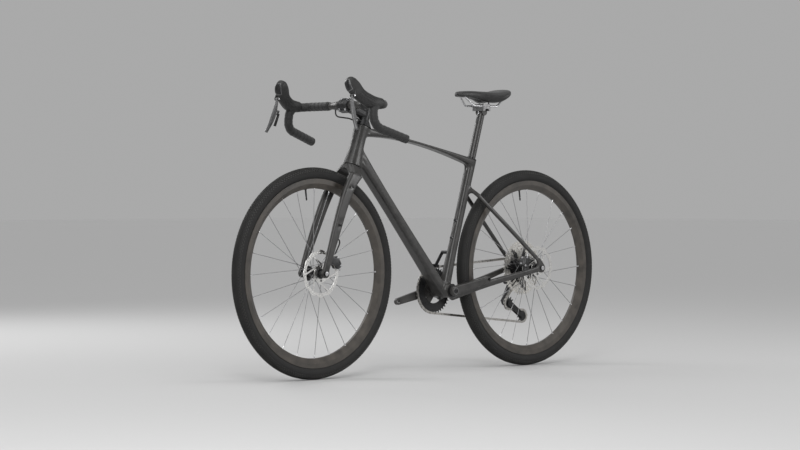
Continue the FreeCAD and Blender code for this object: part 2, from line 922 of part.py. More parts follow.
def seat_tube_stations():
    return ((on_seat_tube(0), seat_up, d.seat_tube_bb_width, d.seat_tube_bb_depth),
            (on_seat_tube(d.seat_tube_waist), seat_up, d.seat_tube_width, d.seat_tube_depth),
            (on_seat_tube(d.seatstay_height), seat_up, d.seat_tube_width, d.seat_tube_depth),
            (on_seat_tube(d.seat_tube_length), seat_up, d.seat_tube_top_width, d.seat_tube_top_depth))


def make_head_tube():
    solid = loft("head_solid", head_stations(), d.head_roundness)
    bore = cylinder("head_bore", on_steerer(-d.cut_margin), steer_up,
                    d.steerer_lower_radius + d.head_bore_clearance,
                    d.head_tube_length + 2 * d.cut_margin)
    lower_seat = cylinder("lower_seat", on_steerer(-d.cut_margin), steer_up,
                          d.lower_bearing_radius, d.bearing_height + d.cut_margin)
    upper_seat = cylinder("upper_seat", on_steerer(d.head_tube_length - d.bearing_height), steer_up,
                          d.upper_bearing_radius, d.bearing_height + d.cut_margin)
    node("head_tube", cut("head_tube", solid, bore, lower_seat, upper_seat))
    return solid


def make_boss(name, surface, outward):
    """A threaded insert standing a little proud of a tube, with the hole that takes it."""
    start = surface - along(outward, d.boss_depth)
    insert = cylinder(name, start, outward, d.boss_radius, d.boss_depth + d.boss_stand)
    thread = cylinder(name + "_thread", start - along(outward, d.cut_margin), outward,
                      d.boss_thread_radius, d.boss_depth + d.boss_stand + 2 * d.cut_margin)
    seat = cylinder(name + "_seat", start, outward, d.boss_radius, d.boss_depth + d.boss_stand)
    return cut(name + "_insert", insert, thread), seat


def down_boss_points():
    """The two bottle fixings on the upper face of the down tube, and the way that they face."""
    head, foot = down_tube_ends()
    slope = (foot - head).normalize()
    outward = LEFT.cross(slope)
    reach = (foot - head).Length
    neck = float(d.down_tube_neck)
    span = reach - neck - float(d.down_tube_foot)
    points = []
    for step in (0, 1):
        distance = d.down_boss_distance + step * d.boss_spacing
        share = (float(distance) - neck) / span
        depth = d.down_tube_neck_depth + (d.down_tube_foot_depth - d.down_tube_neck_depth) * share
        points.append(head + along(slope, distance) + along(outward, depth / 2))
    return points, outward


def seat_boss_points():
    """The two bottle fixings on the front face of the seat tube."""
    return [on_seat_tube(d.seat_boss_distance + step * d.boss_spacing, d.seat_tube_depth / 2)
            for step in (0, 1)]


def make_main_tubes(head_solid, collar_room):
    shell = cross_cylinder("bb_solid", bottom_bracket, -d.bb_shell_width / 2, d.bb_shell_width / 2,
                           d.bb_shell_radius)
    bore = cross_cylinder("bb_bore", bottom_bracket, -d.bb_shell_width / 2 - d.cut_margin,
                          d.bb_shell_width / 2 + d.cut_margin, d.bb_cup_radius)
    node("bottom_bracket_shell", cut("bottom_bracket_shell", shell, bore))

    seat_solid = loft("seat_tube_solid", seat_tube_stations(), d.tube_roundness)
    down_solid = loft("down_tube_solid", down_tube_stations(), d.down_tube_roundness)
    top_solid = loft("top_tube_solid", top_tube_stations(), d.tube_roundness)
    top_inside = loft("top_tube_inside", top_tube_stations(), d.tube_roundness, d.tube_wall)
    down_inside = loft("down_tube_inside", down_tube_stations(), d.down_tube_roundness, d.tube_wall)
    post_bore = cylinder("post_bore", on_seat_tube(d.seat_tube_length - d.post_bore_depth), seat_up,
                         d.seatpost_radius + d.running_fit, d.post_bore_depth + d.cut_margin)

    down_points, down_outward = down_boss_points()
    inserts = []
    down_seats = []
    seat_seats = []
    for index, point in enumerate(down_points):
        insert, seat = make_boss(f"down_boss_{index}", point, down_outward)
        inserts.append(insert)
        down_seats.append(seat)
    for index, point in enumerate(seat_boss_points()):
        insert, seat = make_boss(f"seat_boss_{index}", point, seat_ahead)
        inserts.append(insert)
        seat_seats.append(seat)

    turning_room = cylinder("turning_room", on_steerer(d.head_tube_length), steer_up,
                            d.turning_room_radius, d.turning_room_height)
    node("top_tube", cut("top_tube", top_solid, top_inside, head_solid, seat_solid, turning_room,
                         *collar_room))
    node("down_tube", cut("down_tube", down_solid, down_inside, head_solid, shell, *down_seats))
    node("seat_tube", cut("seat_tube", seat_solid, post_bore, down_solid, shell, *seat_seats))
    node("bottle_bosses", group("bottle_bosses", *inserts))
    return shell, seat_solid, down_solid


def make_seat_collar():
    """The ring that closes on the post, and the two solids that a neighbour is cut by to clear it."""
    slanted = turned(180 - d.seat_angle + d.seat_collar_slant)
    top = d.seat_tube_length + d.seat_collar_height
    stations = ((on_seat_tube(d.seat_tube_length), seat_up, d.seat_tube_top_width, d.seat_tube_top_depth),
                (on_seat_tube(top), slanted, d.seat_tube_top_width, d.seat_tube_top_depth))
    ring = loft("collar_solid", stations, d.tube_roundness)
    bore = cylinder("collar_bore", on_seat_tube(d.seat_tube_length - d.cut_margin), seat_up,
                    d.seatpost_radius + d.running_fit, d.seat_collar_height + d.seat_tube_top_depth)
    node("seat_clamp", cut("seat_clamp", ring, bore))
    return ring, bore


def make_bearings():
    lower = turned_body("lower_bearing", on_steerer(0), steer_up,
                        ring_corners(d.steerer_lower_radius + d.running_fit, d.lower_bearing_radius,
                                     d.bearing_height))
    upper = turned_body("upper_bearing", on_steerer(d.head_tube_length - d.bearing_height), steer_up,
                        ring_corners(d.steerer_upper_radius + d.running_fit, d.upper_bearing_radius,
                                     d.bearing_height))
    inner = d.spindle_radius + d.running_fit
    corners = ((inner, 0), (d.bb_cup_radius, 0), (d.bb_cup_radius, d.bb_cup_depth),
               (d.bb_flange_radius, d.bb_cup_depth), (d.bb_flange_radius, d.bb_cup_depth + d.bb_flange_width),
               (inner, d.bb_cup_depth + d.bb_flange_width))
    start = bottom_bracket + along(LEFT, d.bb_shell_width / 2 - d.bb_cup_depth)
    cup = turned_body("left_cup", start, LEFT, corners)
    node("frame_bearings", group("frame_bearings", lower, upper, cup, mirrored("right_cup", cup)))


def ring_corners(inner, outer, height):
    return ((inner, 0), (outer, 0), (outer, height), (inner, height))


def make_stays(shell, seat_solid, down_solid):
    root = bottom_bracket - vec(d.stay_root_back, 0, d.stay_root_drop)
    heel = d.dropout_inner + d.dropout_thickness / 2
    slope = (rear_axle - root).normalize()
    stations = ((0, d.stay_root_side, d.stay_root_width, d.stay_root_height),
                (d.stay_neck_share, d.stay_neck_side, d.stay_neck_width, d.stay_neck_height),
                (d.stay_wheel_share, d.stay_wheel_side, d.stay_wheel_width, d.stay_wheel_height),
                (d.stay_heel_share, d.stay_heel_side, d.stay_heel_width, d.stay_heel_height),
                (1, heel, d.dropout_thickness, d.stay_end_height))
    chainstay = loft("chainstay_solid",
                     [(between(root, rear_axle, share, side), slope, width, height)
                      for share, side, width, height in stations], d.tube_roundness)
    end = rear_axle + vec(d.seatstay_end_ahead, 0, d.seatstay_end_rise)
    inner = along(LEFT, d.dropout_inner)
    dropout = link_plate("dropout", rear_axle + inner, end + inner, LEFT, d.dropout_radius,
                         d.dropout_horn_radius, d.dropout_thickness)
    stay = fuse("chainstay_and_dropout", chainstay, dropout)
    hub_room = cross_cylinder("hub_room", rear_axle, 0, d.dropout_inner, d.dropout_radius)
    outer = d.dropout_inner + d.dropout_thickness
    face_room = cross_cylinder("dropout_face_room", rear_axle, outer, outer + d.dropout_thickness,
                               d.dropout_radius + d.cut_margin)
    crank_room = cross_cylinder("crank_room", bottom_bracket, d.bb_shell_width / 2, d.dropout_inner,
                                d.bb_shell_radius)
    hole = cross_cylinder("dropout_hole", rear_axle, d.dropout_inner - d.cut_margin,
                          d.dropout_inner + d.dropout_thickness + d.cut_margin,
                          d.axle_radius + d.running_fit)
    chainstay_cut = cut("chainstay", stay, shell, seat_solid, down_solid, hole, hub_room, face_room,
                        crank_room)
    node("chainstays", pair("chainstays", chainstay_cut))

    top = on_seat_tube(d.seatstay_height)
    shoulder = top - vec(d.seatstay_shoulder_back, 0, d.seatstay_shoulder_drop)
    run = (end - shoulder).normalize()
    root_station = (between(top, shoulder, 0, d.seatstay_root_side), (shoulder - top).normalize(),
                    d.seatstay_root_size, d.seatstay_root_size)
    shoulder_station = (between(shoulder, end, 0, d.seatstay_shoulder_side), run,
                        d.seatstay_width, d.seatstay_depth)
    run_stations = (shoulder_station,
                    (between(shoulder, end, d.seatstay_mid_share, d.seatstay_mid_side), run,
                     d.seatstay_width, d.seatstay_depth),
                    (between(shoulder, end, 1, heel), run, d.seatstay_end_width, d.seatstay_depth))
    seatstay = fuse("seatstay_solid",
                    loft("seatstay_root", (root_station, shoulder_station), d.tube_roundness),
                    loft("seatstay_run", run_stations, d.tube_roundness))
    node("seatstays", pair("seatstays", cut("seatstay", seatstay, seat_solid, stay, hub_room,
                                              face_room)))
    return stay


def make_frame():
    head_solid = make_head_tube()
    shell, seat_solid, down_solid = make_main_tubes(head_solid, make_seat_collar())
    make_bearings()
    return seat_solid, make_stays(shell, seat_solid, down_solid)


# Seatpost and saddle

def make_seatpost():
    head = on_seat_tube(d.seatpost_rise)
    post = cylinder("post", on_seat_tube(d.seatpost_rise - d.seatpost_length), seat_up,
                    d.seatpost_radius, d.seatpost_length)
    barrel = cross_cylinder("post_head", head, -d.post_head_width / 2, d.post_head_width / 2,
                            d.post_head_radius)
    room_start = head - along(UP, d.clamp_swing_room)
    clamp_room = block("clamp_room", room_start, UP, AHEAD, d.clamp_length + 2 * d.post_head_radius,
                       d.clamp_width, d.clamp_height + d.clamp_swing_room, d.clamp_corner)
    barrel_room = cross_cylinder("barrel_room", head, -d.clamp_width, d.clamp_width, d.post_head_radius)
    trimmed = cut("post_trimmed", post, cut("post_relief", clamp_room, barrel_room))
    node("seatpost", fuse("seatpost", trimmed, barrel))


def make_saddle():
    head = on_seat_tube(d.seatpost_rise)
    rail_line = head + along(UP, d.rail_height)
    rail_points = [rail_line + vec(-d.rail_tail_back, d.rail_tail_side, d.rail_end_rise),
                   rail_line + vec(-d.rail_straight_back, d.rail_side, 0),
                   rail_line + vec(d.rail_straight_ahead, d.rail_side, 0),
                   rail_line + vec(d.rail_nose_ahead, d.rail_nose_side, d.rail_end_rise)]
    rail = tube_along("saddle_rail", rail_points, (d.rail_bend_radius, d.rail_bend_radius), d.rail_radius)
    rail_group = pair("saddle_rails", rail)

    top = d.saddle_top_height
    stations = ((0, d.saddle_nose_width, d.saddle_nose_thickness, top - d.saddle_nose_droop),
                (d.saddle_neck_from_nose, d.saddle_neck_width, d.saddle_neck_thickness,
                 top + d.saddle_neck_rise),
                (d.saddle_hip_from_nose, d.saddle_hip_width, d.saddle_hip_thickness, top),
                (d.saddle_wing_from_nose, d.saddle_wing_width, d.saddle_wing_thickness,
                 top + d.saddle_tail_rise / 2),
                (d.saddle_length, d.saddle_tail_width, d.saddle_tail_thickness, top + d.saddle_tail_rise))
    sections = []
    for back, width, thickness, height in stations:
        middle = rail_line + vec(d.saddle_nose_ahead - back, 0, height - thickness / 2)
        sections.append((middle, -AHEAD, width, thickness))
    cushion = loft("saddle_cushion", sections, d.saddle_roundness)
    node("saddle_rails", rail_group)
    node("saddle_pad", cut("saddle_pad", cushion, rail_group))

    grip = block("clamp_block", head + along(UP, d.rail_height + d.clamp_cap - d.clamp_height), UP, AHEAD,
                 d.clamp_length, d.clamp_width, d.clamp_height, d.clamp_corner)
    seat = cross_cylinder("clamp_seat", head, -d.clamp_width, d.clamp_width,
                          d.post_head_radius + d.running_fit)
    grooves = []
    bolts = []
    for side in (-1, 1):
        groove_start = rail_line + vec(-d.clamp_length, side * d.rail_side, 0)
        grooves.append(cylinder(f"rail_groove_{side + 1}", groove_start, AHEAD,
                                d.rail_radius + d.running_fit, 2 * d.clamp_length))
        bolt_foot = rail_line + vec(side * d.clamp_length / 4, 0, d.clamp_cap)
        bolts.append(cylinder(f"clamp_bolt_{side + 1}", bolt_foot, UP, d.clamp_bolt_radius,
                              d.clamp_bolt_head))
    node("saddle_clamp", fuse("saddle_clamp", cut("clamp_grip", grip, seat, *grooves), *bolts))


# Fork

def leg_stations():
    """The left leg from under the crown to the axle."""
    stations = ((d.crown_drop, d.crown_set, d.leg_top_side, d.leg_top_width, d.crown_depth),
                (d.leg_shoulder_drop, d.leg_shoulder_set, d.leg_shoulder_side,
                 d.leg_shoulder_width, d.leg_shoulder_depth),
                (d.leg_mid_drop, d.leg_mid_set, d.leg_mid_side, d.leg_mid_width, d.leg_mid_depth),
                (d.leg_low_drop, d.leg_low_set, d.leg_low_side, d.leg_low_width, d.leg_low_depth),
                (d.fork_length, d.fork_rake, d.fork_dropout_inner + d.fork_dropout_thickness / 2,
                 d.leg_end_width, d.leg_end_depth))
    return [(on_steerer(-drop, ahead, side), -steer_up, width, depth)
            for drop, ahead, side, width, depth in stations]


def leg_boss_point(drop):
    """A point on the outer face of the left leg, on the straight between two stations."""
    share = (drop - d.leg_shoulder_drop) / (d.leg_low_drop - d.leg_shoulder_drop)
    ahead = d.leg_shoulder_set + (d.leg_low_set - d.leg_shoulder_set) * share
    outer = d.leg_low_side + d.leg_low_width / 2
    return on_steerer(-drop, ahead, outer)


def make_fork():
    stations = ((on_steerer(-d.moving_gap), -steer_up, d.head_lower_width, d.head_lower_depth),
                (on_steerer(-d.crown_mid_drop, d.crown_set / 2), -steer_up,
                 d.crown_mid_width, d.crown_mid_depth),
                (on_steerer(-d.crown_drop, d.crown_set), -steer_up, d.crown_width, d.crown_depth))
    block_solid = loft("crown_solid", stations, d.leg_roundness)
    arch = cylinder("crown_arch", on_steerer(-d.crown_arch_drop, -d.crown_width), steer_ahead,
                    d.crown_arch_radius, 2 * d.crown_width)
    foot = d.crown_mid_drop
    steerer_top = foot + d.head_tube_length + d.steerer_above_head
    corners = ((d.steerer_bore_radius, 0), (d.steerer_lower_radius, 0),
               (d.steerer_lower_radius, foot + d.steerer_taper_start),
               (d.steerer_upper_radius, foot + d.steerer_taper_end),
               (d.steerer_upper_radius, steerer_top), (d.steerer_bore_radius, steerer_top))
    steerer = turned_body("steerer", on_steerer(-foot), steer_up, corners)
    node("fork_crown", fuse("fork_crown", cut("crown_arched", block_solid, arch), steerer))

    solid = loft("leg_solid", leg_stations(), d.leg_roundness)
    inside = loft("leg_inside", leg_stations()[:-1], d.leg_roundness, d.leg_wall)
    outer = d.fork_dropout_inner + d.fork_dropout_thickness
    dropout = cross_cylinder("fork_dropout", front_axle, d.fork_dropout_inner, outer, d.fork_dropout_radius)
    hole = cross_cylinder("fork_axle_hole", front_axle, d.fork_dropout_inner - d.cut_margin,
                          outer + d.cut_margin, d.axle_radius + d.running_fit)
    bosses = [cylinder(f"leg_boss_{index}", leg_boss_point(drop), -LEFT, d.boss_thread_radius, d.boss_depth)
              for index, drop in enumerate((d.leg_boss_high, d.leg_boss_low))]
    leg_skin = fuse("leg_and_dropout", solid, dropout)
    hub_room = cross_cylinder("front_hub_room", front_axle, 0, d.fork_dropout_inner, d.fork_dropout_radius)
    head_room = cross_cylinder("axle_head_room", front_axle, outer, outer + d.axle_head_width + d.cut_margin,
                               d.axle_head_radius)
    leg = cut("fork_leg", leg_skin, inside, hole, hub_room, head_room, *bosses)
    node("fork_legs", pair("fork_legs", leg))
    return leg_skin


def make_axle(name, centre, right_end, left_end):
    """A through axle along Y with a flat head and a key socket at its left end."""
    shaft = cross_cylinder(name + "_shaft", centre, -right_end, left_end, d.axle_radius)
    head = cross_cylinder(name + "_head", centre, left_end, left_end + d.axle_head_width, d.axle_head_radius)
    key = cross_cylinder(name + "_key", centre, left_end + d.axle_head_width - d.axle_key_depth,
                         left_end + d.axle_head_width + d.cut_margin, d.axle_key_radius)
    node(name, cut(name, fuse(name + "_solid", shaft, head), key))


# Stem, bar and controls

spacer_base = d.head_tube_length + d.moving_gap
stem_base = spacer_base + d.spacer_height
stem_top = stem_base + d.stem_clamp_height


def bar_centre():
    middle = on_steerer(stem_base + d.stem_clamp_height / 2)
    return vec(middle.x + float(d.bar_forward), 0, d.bar_height)


def bar_points():
    """The left half of the bar: out along the top, forward, down the hook and back along the drop."""
    start = bar_centre()
    return [start,
            start + vec(0, d.bar_half_width, 0),
            start + vec(d.bar_reach, d.bar_half_width, -d.bar_ramp_drop),
            start + vec(d.bar_reach, d.bar_half_width + d.bar_hook_flare, -d.bar_hook_drop),
            start + vec(-d.bar_end_back, d.bar_half_width + d.bar_end_flare, -d.bar_end_drop)]


def make_stem():
    middle = on_steerer(stem_base + d.stem_clamp_height / 2)
    centre = bar_centre()
    reach = (centre - middle).normalize()
    clamp = cylinder("stem_clamp", on_steerer(stem_base), steer_up, d.stem_clamp_radius, d.stem_clamp_height)
    arm = loft("stem_arm", ((middle, reach, d.stem_width, d.stem_depth),
                            (centre, reach, d.stem_bar_width, d.stem_bar_depth)), d.tube_roundness)
    eye = cross_cylinder("stem_eye", centre, -d.stem_bar_length / 2, d.stem_bar_length / 2, d.stem_bar_radius)
    bar_hole = cross_cylinder("stem_bar_hole", centre, -d.stem_bar_length, d.stem_bar_length,
                              d.bar_clamp_radius)
    steerer_hole = cylinder("stem_steerer_hole", on_steerer(stem_base - d.cut_margin), steer_up,
                            d.steerer_upper_radius + d.running_fit, d.stem_clamp_height + 2 * d.cut_margin)
    front_room = block("face_room", centre - along(reach, d.stem_face_gap / 2), reach, LEFT,
                       2 * d.stem_bar_length, 2 * d.stem_bar_length, d.stem_bar_length, d.stem_face_gap)
    face_side = block("face_side", centre + along(reach, d.stem_face_gap / 2), reach, LEFT,
                      2 * d.stem_bar_length, 2 * d.stem_bar_length, d.stem_bar_length, d.stem_face_gap)
    lift = LEFT.cross(reach) * -1
    bolts = []
    for side in (-1, 1):
        for level in (-1, 1):
            seat = centre + along(LEFT, side * d.stem_bolt_side) + along(lift, level * d.stem_bolt_rise)
            face = seat + along(reach, d.stem_bar_radius / 2)
            name = f"stem_bolt_{side + 1}{level + 1}"
            shank = cylinder(name + "_shank", face - along(reach, d.stem_bolt_length), reach,
                             d.stem_bolt_radius, d.stem_bolt_length)
            head = cylinder(name + "_head", face, reach, d.stem_bolt_head_radius, d.stem_bolt_head_radius)
            bolts.append(fuse(name, shank, head))
    lug_height = 2 * d.stem_bolt_rise + 2 * d.stem_bolt_head_radius
    lug_depth = (d.stem_bar_radius - d.stem_face_gap) / 2
    face_lugs, stem_lugs = [
        block(name, centre + along(reach, start), reach, LEFT, d.stem_bar_length, lug_height, lug_depth,
              d.stem_bolt_head_radius)
        for name, start in (("face_lugs", d.stem_face_gap / 2),
                            ("stem_lugs", -d.stem_face_gap / 2 - lug_depth))]
    bolt_group = group("stem_bolts", *bolts)
    stem_solid = fuse("stem_solid", clamp, arm, eye, stem_lugs)
    node("stem", cut("stem", stem_solid, bar_hole, steerer_hole, front_room, bolt_group))
    face = fuse("face_solid", common("face_half", eye, face_side), face_lugs)
    node("stem_faceplate", cut("stem_faceplate", face, bar_hole, bolt_group))
    cap = cylinder("top_cap", on_steerer(stem_top), steer_up, d.top_cap_radius, d.top_cap_height)
    low = (on_steerer(spacer_base, -d.spacer_low_back), steer_up, d.spacer_low_width, d.spacer_low_depth)
    high = (on_steerer(stem_base), steer_up, d.spacer_top_width, d.spacer_top_depth)
    cover = loft("spacer_cover", (low, high), d.head_roundness)
    bore = cylinder("spacer_bore", on_steerer(spacer_base - d.cut_margin), steer_up,
                    d.steerer_upper_radius + d.running_fit, d.spacer_height + 2 * d.cut_margin)
    node("stem_bolts", bolt_group)
    node("headset_spacers", group("headset_spacers", cut("spacer", cover, bore), cap))
    return cover


def make_bar():
    points = bar_points()
    radii = (d.bar_bend_radius, d.bar_hook_radius, d.bar_drop_radius)
    half = tube_along("bar_half", points, radii, d.bar_radius)
    centre = bar_centre()
    profile = ((0, 0), (d.bar_clamp_radius, 0), (d.bar_clamp_radius, d.bar_clamp_half),
               (d.bar_radius, d.bar_taper_end), (0, d.bar_taper_end))
    bulge = turned_body("bar_bulge", centre, LEFT, profile)
    left = fuse("bar_left", half, bulge)
    bar = fuse("handlebar", left, mirrored("bar_right", left))
    node("handlebar", bar)

    tape_points = [points[0] + along(LEFT, d.tape_start)] + points[1:]
    sleeve = tube_along("tape_sleeve", tape_points, radii, d.tape_radius)
    node("bar_tape", pair("bar_tape", cut("tape", sleeve, half)))

    heading = (points[-1] - points[-2]).normalize()
    plug = cylinder("bar_plug", points[-1], heading, d.plug_radius, d.plug_length)
    node("bar_end_plugs", pair("bar_end_plugs", plug))
    return bar, sleeve


def hood_stations():
    """The left hood from its cuff on the bar, along the ramp and up the horn."""
    start = bar_centre()
    shape = ((d.hood_cuff_ahead, d.hood_cuff_in, d.hood_cuff_rise, d.hood_width, d.hood_cuff_height),
             (d.hood_ramp_ahead, d.hood_ramp_in, d.hood_ramp_rise, d.hood_width, d.hood_ramp_height),
             (d.hood_neck_ahead, d.hood_neck_in, d.hood_neck_rise, d.hood_width, d.hood_neck_height),
             (d.hood_horn_ahead, d.hood_horn_in, d.hood_horn_rise, d.hood_width, d.hood_horn_height),
             (d.hood_brow_ahead, d.hood_brow_in, d.hood_brow_rise, d.hood_width, d.hood_brow_height),
             (d.hood_cap_ahead, d.hood_cap_in, d.hood_cap_rise, d.hood_cap_width, d.hood_cap_height))
    points = [start + vec(ahead, d.bar_half_width - inset, rise) for ahead, inset, rise, _, _ in shape]
    stations = []
    for index, (_, _, _, width, height) in enumerate(shape):
        before = points[max(index - 1, 0)]
        after = points[min(index + 1, len(points) - 1)]
        stations.append((points[index], after - before, width, height))
    return stations


def lever_point(ahead, inset, rise):
    return bar_centre() + vec(ahead, d.bar_half_width - inset, rise)


def lever_line():
    """Points down the middle of the left lever blade, from under its pivot to its tip."""
    return [lever_point(d.lever_root_ahead, d.lever_root_in, d.lever_root_rise),
            lever_point(d.lever_mid_ahead, d.lever_mid_in, d.lever_mid_rise),
            lever_point(d.lever_low_ahead, d.lever_low_in, d.lever_low_rise),
            lever_point(d.lever_tip_ahead, d.lever_tip_in, d.lever_tip_rise)]


def lever_pivot():
    return lever_point(d.lever_pivot_ahead, d.lever_pivot_in, d.lever_pivot_rise)


def make_hoods(sleeve):
    pivot = lever_pivot()
    solid = loft("hood_solid", hood_stations(), d.hood_roundness)
    half = d.lever_boss_width / 2 + d.moving_gap
    room = cross_cylinder("lever_room", pivot, -half, half, d.lever_boss_radius + d.lever_clearance)
    root = hood_stations()[HORN_STATION][0]
    anchor = pivot + (root - pivot) * float(d.ear_share)
    ears = []
    for side in (-1, 1):
        inner = half if side > 0 else half + d.ear_thickness
        offset = pivot.y + side * float(inner)
        ears.append(link_plate(f"hood_ear_{side + 1}", vec(anchor.x, offset, anchor.z),
                               vec(pivot.x, offset, pivot.z), LEFT, d.ear_radius, d.ear_radius,
                               d.ear_thickness))
    pin = cross_cylinder("lever_pin", pivot, -half - d.ear_thickness, half + d.ear_thickness,
                         d.lever_pin_radius)
    hood = fuse("lever_hood", cut("hood_shell", solid, room, sleeve), *ears, pin)
    node("lever_hoods", pair("lever_hoods", hood))


def make_lever_blade():
    """The left lever: a blade under a round boss on the pivot pin."""
    points = lever_line()
    pivot = lever_pivot()
    widths = (d.lever_root_width, d.lever_mid_width, d.lever_mid_width, d.lever_tip_width)
    depths = (d.lever_root_depth, d.lever_mid_depth, d.lever_low_depth, d.lever_tip_depth)
    stations = [(pivot, points[0] - pivot, d.lever_root_width, d.lever_root_depth)]
    for index, point in enumerate(points):
        before = points[index - 1] if index else pivot
        after = points[min(index + 1, len(points) - 1)]
        stations.append((point, after - before, widths[index], depths[index]))
    blade = loft("lever_blade", stations, d.tube_roundness)
    boss = cross_cylinder("lever_boss", pivot, -d.lever_boss_width / 2, d.lever_boss_width / 2,
                          d.lever_boss_radius)
    hole = cross_cylinder("lever_hole", pivot, -d.lever_boss_width, d.lever_boss_width,
                          d.lever_pin_radius + d.running_fit)
    return cut("lever", fuse("lever_solid", blade, boss), hole)


def paddle_axis():
    """The shift paddle's hinge line, as if on the left lever: its top, its way down and its way back."""
    points = lever_line()
    heading = (points[2] - points[1]).normalize()
    back = (heading * AHEAD.dot(heading) - AHEAD).normalize()
    return points[1] + along(back, d.paddle_set), heading, back


def make_levers():
    lever = make_lever_blade()
    node("left_brake_lever", lever)
    top, heading, back = paddle_axis()
    lug_top = top - along(heading, d.paddle_lug_height)
    lug = link_plate("paddle_lug", lug_top - along(back, d.paddle_set), lug_top, heading,
                     d.paddle_barrel_radius, d.paddle_barrel_radius, d.paddle_lug_height - d.moving_gap)
    pin = cylinder("paddle_pin", lug_top, heading, d.paddle_pin_radius,
                   d.paddle_lug_height + d.paddle_barrel_length)
    right_lever = fuse("right_lever_solid", lever, lug, pin)
    node("right_brake_lever", mirrored("right_brake_lever", right_lever))

    barrel = cylinder("paddle_barrel", top, heading, d.paddle_barrel_radius, d.paddle_barrel_length)
    hole = cylinder("paddle_hole", top - along(heading, d.cut_margin), heading,
                    d.paddle_pin_radius + d.running_fit, d.paddle_barrel_length + 2 * d.cut_margin)
    start = top + along(heading, d.paddle_barrel_length / 2)
    end = start + along(heading, d.paddle_length)
    sections = ((start + along(back, d.paddle_root_depth / 2), heading, d.paddle_width, d.paddle_root_depth),
                (end + along(back, d.paddle_depth / 2), heading, d.paddle_width, d.paddle_depth))
    blade = loft("paddle_blade", sections, d.tube_roundness)
    paddle = cut("paddle", fuse("paddle_solid", barrel, blade), hole)
    node("shift_paddle", mirrored("shift_paddle", paddle))


def make_front_hoses(bar, spacer, leg, caliper):
    """The bar's two hoses into the headset cover, and the front brake's from the left leg."""
    centre = bar_centre()
    points = [centre + along(LEFT, d.hose_bar_side),
              centre + vec(d.hose_drop_ahead, d.hose_drop_side, -d.hose_drop),
              on_steerer(stem_base - d.hose_entry_drop, d.hose_low_ahead, d.hose_low_side),
              on_steerer(stem_base - d.hose_entry_drop, 0, d.hose_entry_side)]
    bar_hose = tube_along("bar_hose", points, (d.hose_bend_radius, d.hose_bend_radius), d.hose_radius)
    both = pair("bar_hoses", bar_hose)
    middle, tangent, _ = front_caliper_frame()
    port = middle + along(tangent, d.caliper_length / 2 - d.hose_port_inset) + along(LEFT, d.hose_port_side)
    leg_exit = on_steerer(-d.hose_leg_drop, d.leg_low_set, d.leg_low_side)
    bend = on_steerer(-d.hose_leg_drop, d.hose_leg_bend_ahead, d.hose_leg_bend_side)
    run = tube_along("caliper_hose", [leg_exit, bend, port], (d.hose_bend_radius,), d.hose_radius)
    node("brake_hoses", group("brake_hoses", cut("bar_hose_ends", both, bar, spacer),
                              cut("caliper_hose_ends", run, leg, caliper)))


# Wheels

tyre_ring_radius = d.rim_radius - d.tyre_seat_depth + d.tyre_section / 2


def make_rim(name, axle):
    w = d.rim_width
    nose = d.rim_nose_width
    inner = d.rim_radius - d.rim_depth
    shoulder = d.rim_radius - d.rim_shoulder_depth
    bed = d.rim_radius - d.rim_bed_depth
    corners = ((inner, (w - nose) / 2), (shoulder, 0), (d.rim_radius, 0), (d.rim_radius, d.rim_wall),
               (bed, d.rim_wall), (bed, w - d.rim_wall), (d.rim_radius, w - d.rim_wall), (d.rim_radius, w),
               (shoulder, w), (inner, (w + nose) / 2))
    return turned_body(name, axle - along(LEFT, w / 2), LEFT, corners)


def make_tyre(name, axle, rim):
    outer = torus(name + "_outer", axle, tyre_ring_radius, d.tyre_section / 2)
    air = torus(name + "_air", axle, tyre_ring_radius, d.tyre_section / 2 - d.tyre_wall)
    mouth = cross_cylinder(name + "_mouth", axle, -d.bead_opening / 2, d.bead_opening / 2,
                           tyre_ring_radius - d.tyre_section / 4)
    return cut(name, outer, air, mouth, rim)


def make_spokes(name, axle, flange_radius, left_flange, right_flange):
    """Crossed spokes: every other one on each flange, leaning forward and back in turn."""
    count = int(float(d.spoke_count))
    step = 360.0 / count
    cross = 2 * float(d.spoke_crossings) * step
    rim_radius = d.rim_radius - d.rim_depth + d.spoke_rim_bite
    spokes = []
    for index in range(count):
        left_side = index % 2 == 0
        lean = 1 if (index // 2) % 2 == 0 else -1
        flange = left_flange if left_side else -right_flange
        side = d.spoke_rim_side if left_side else -d.spoke_rim_side
        start = along(turned(index * step + lean * cross), flange_radius)
        start = start + along(LEFT, flange + lean * d.spoke_set)
        end = along(turned(index * step), rim_radius) + along(LEFT, side)
        run = end - start
        spokes.append(cylinder(f"{name}_{index}", axle + start, run, d.spoke_radius, run.Length))
    return group(name, *spokes)


def make_hub(name, axle, flange_radius, flanges, shell_radius, ends, rotor_side):
    """A hub turned from end to end, with two flanges and a seat for the brake rotor."""
    right_flange, left_flange = flanges
    right_end, left_end = ends
    bore = d.axle_radius + d.running_fit
    rim = flange_radius + d.flange_thickness
    half = d.flange_thickness / 2
    seat = rotor_side + d.rotor_thickness / 2
    profile = ((bore, -right_end), (d.hub_end_radius, -right_end), (d.hub_end_radius, -right_flange - half),
               (rim, -right_flange - half), (rim, -right_flange + half), (shell_radius, -right_flange + half),
               (shell_radius, left_flange - half), (rim, left_flange - half), (rim, left_flange + half),
               (d.hub_collar_radius, left_flange + half), (d.hub_collar_radius, seat),
               (d.hub_end_radius, seat), (d.hub_end_radius, left_end), (bore, left_end))
    corners = [(radius, right_end + side) for radius, side in profile]
    return turned_body(name, axle - along(LEFT, right_end), LEFT, corners)


def polar_pattern(body, feature, count):
    pattern = body.newObject("PartDesign::PolarPattern", "pattern")
    pattern.Originals = [feature]
    pattern.Axis = (origin_feature(body, "Z_Axis"), [""])
    pattern.Angle = 360.0
    drive(pattern, Occurrences=count)
    body.Tip = pattern
    return pattern


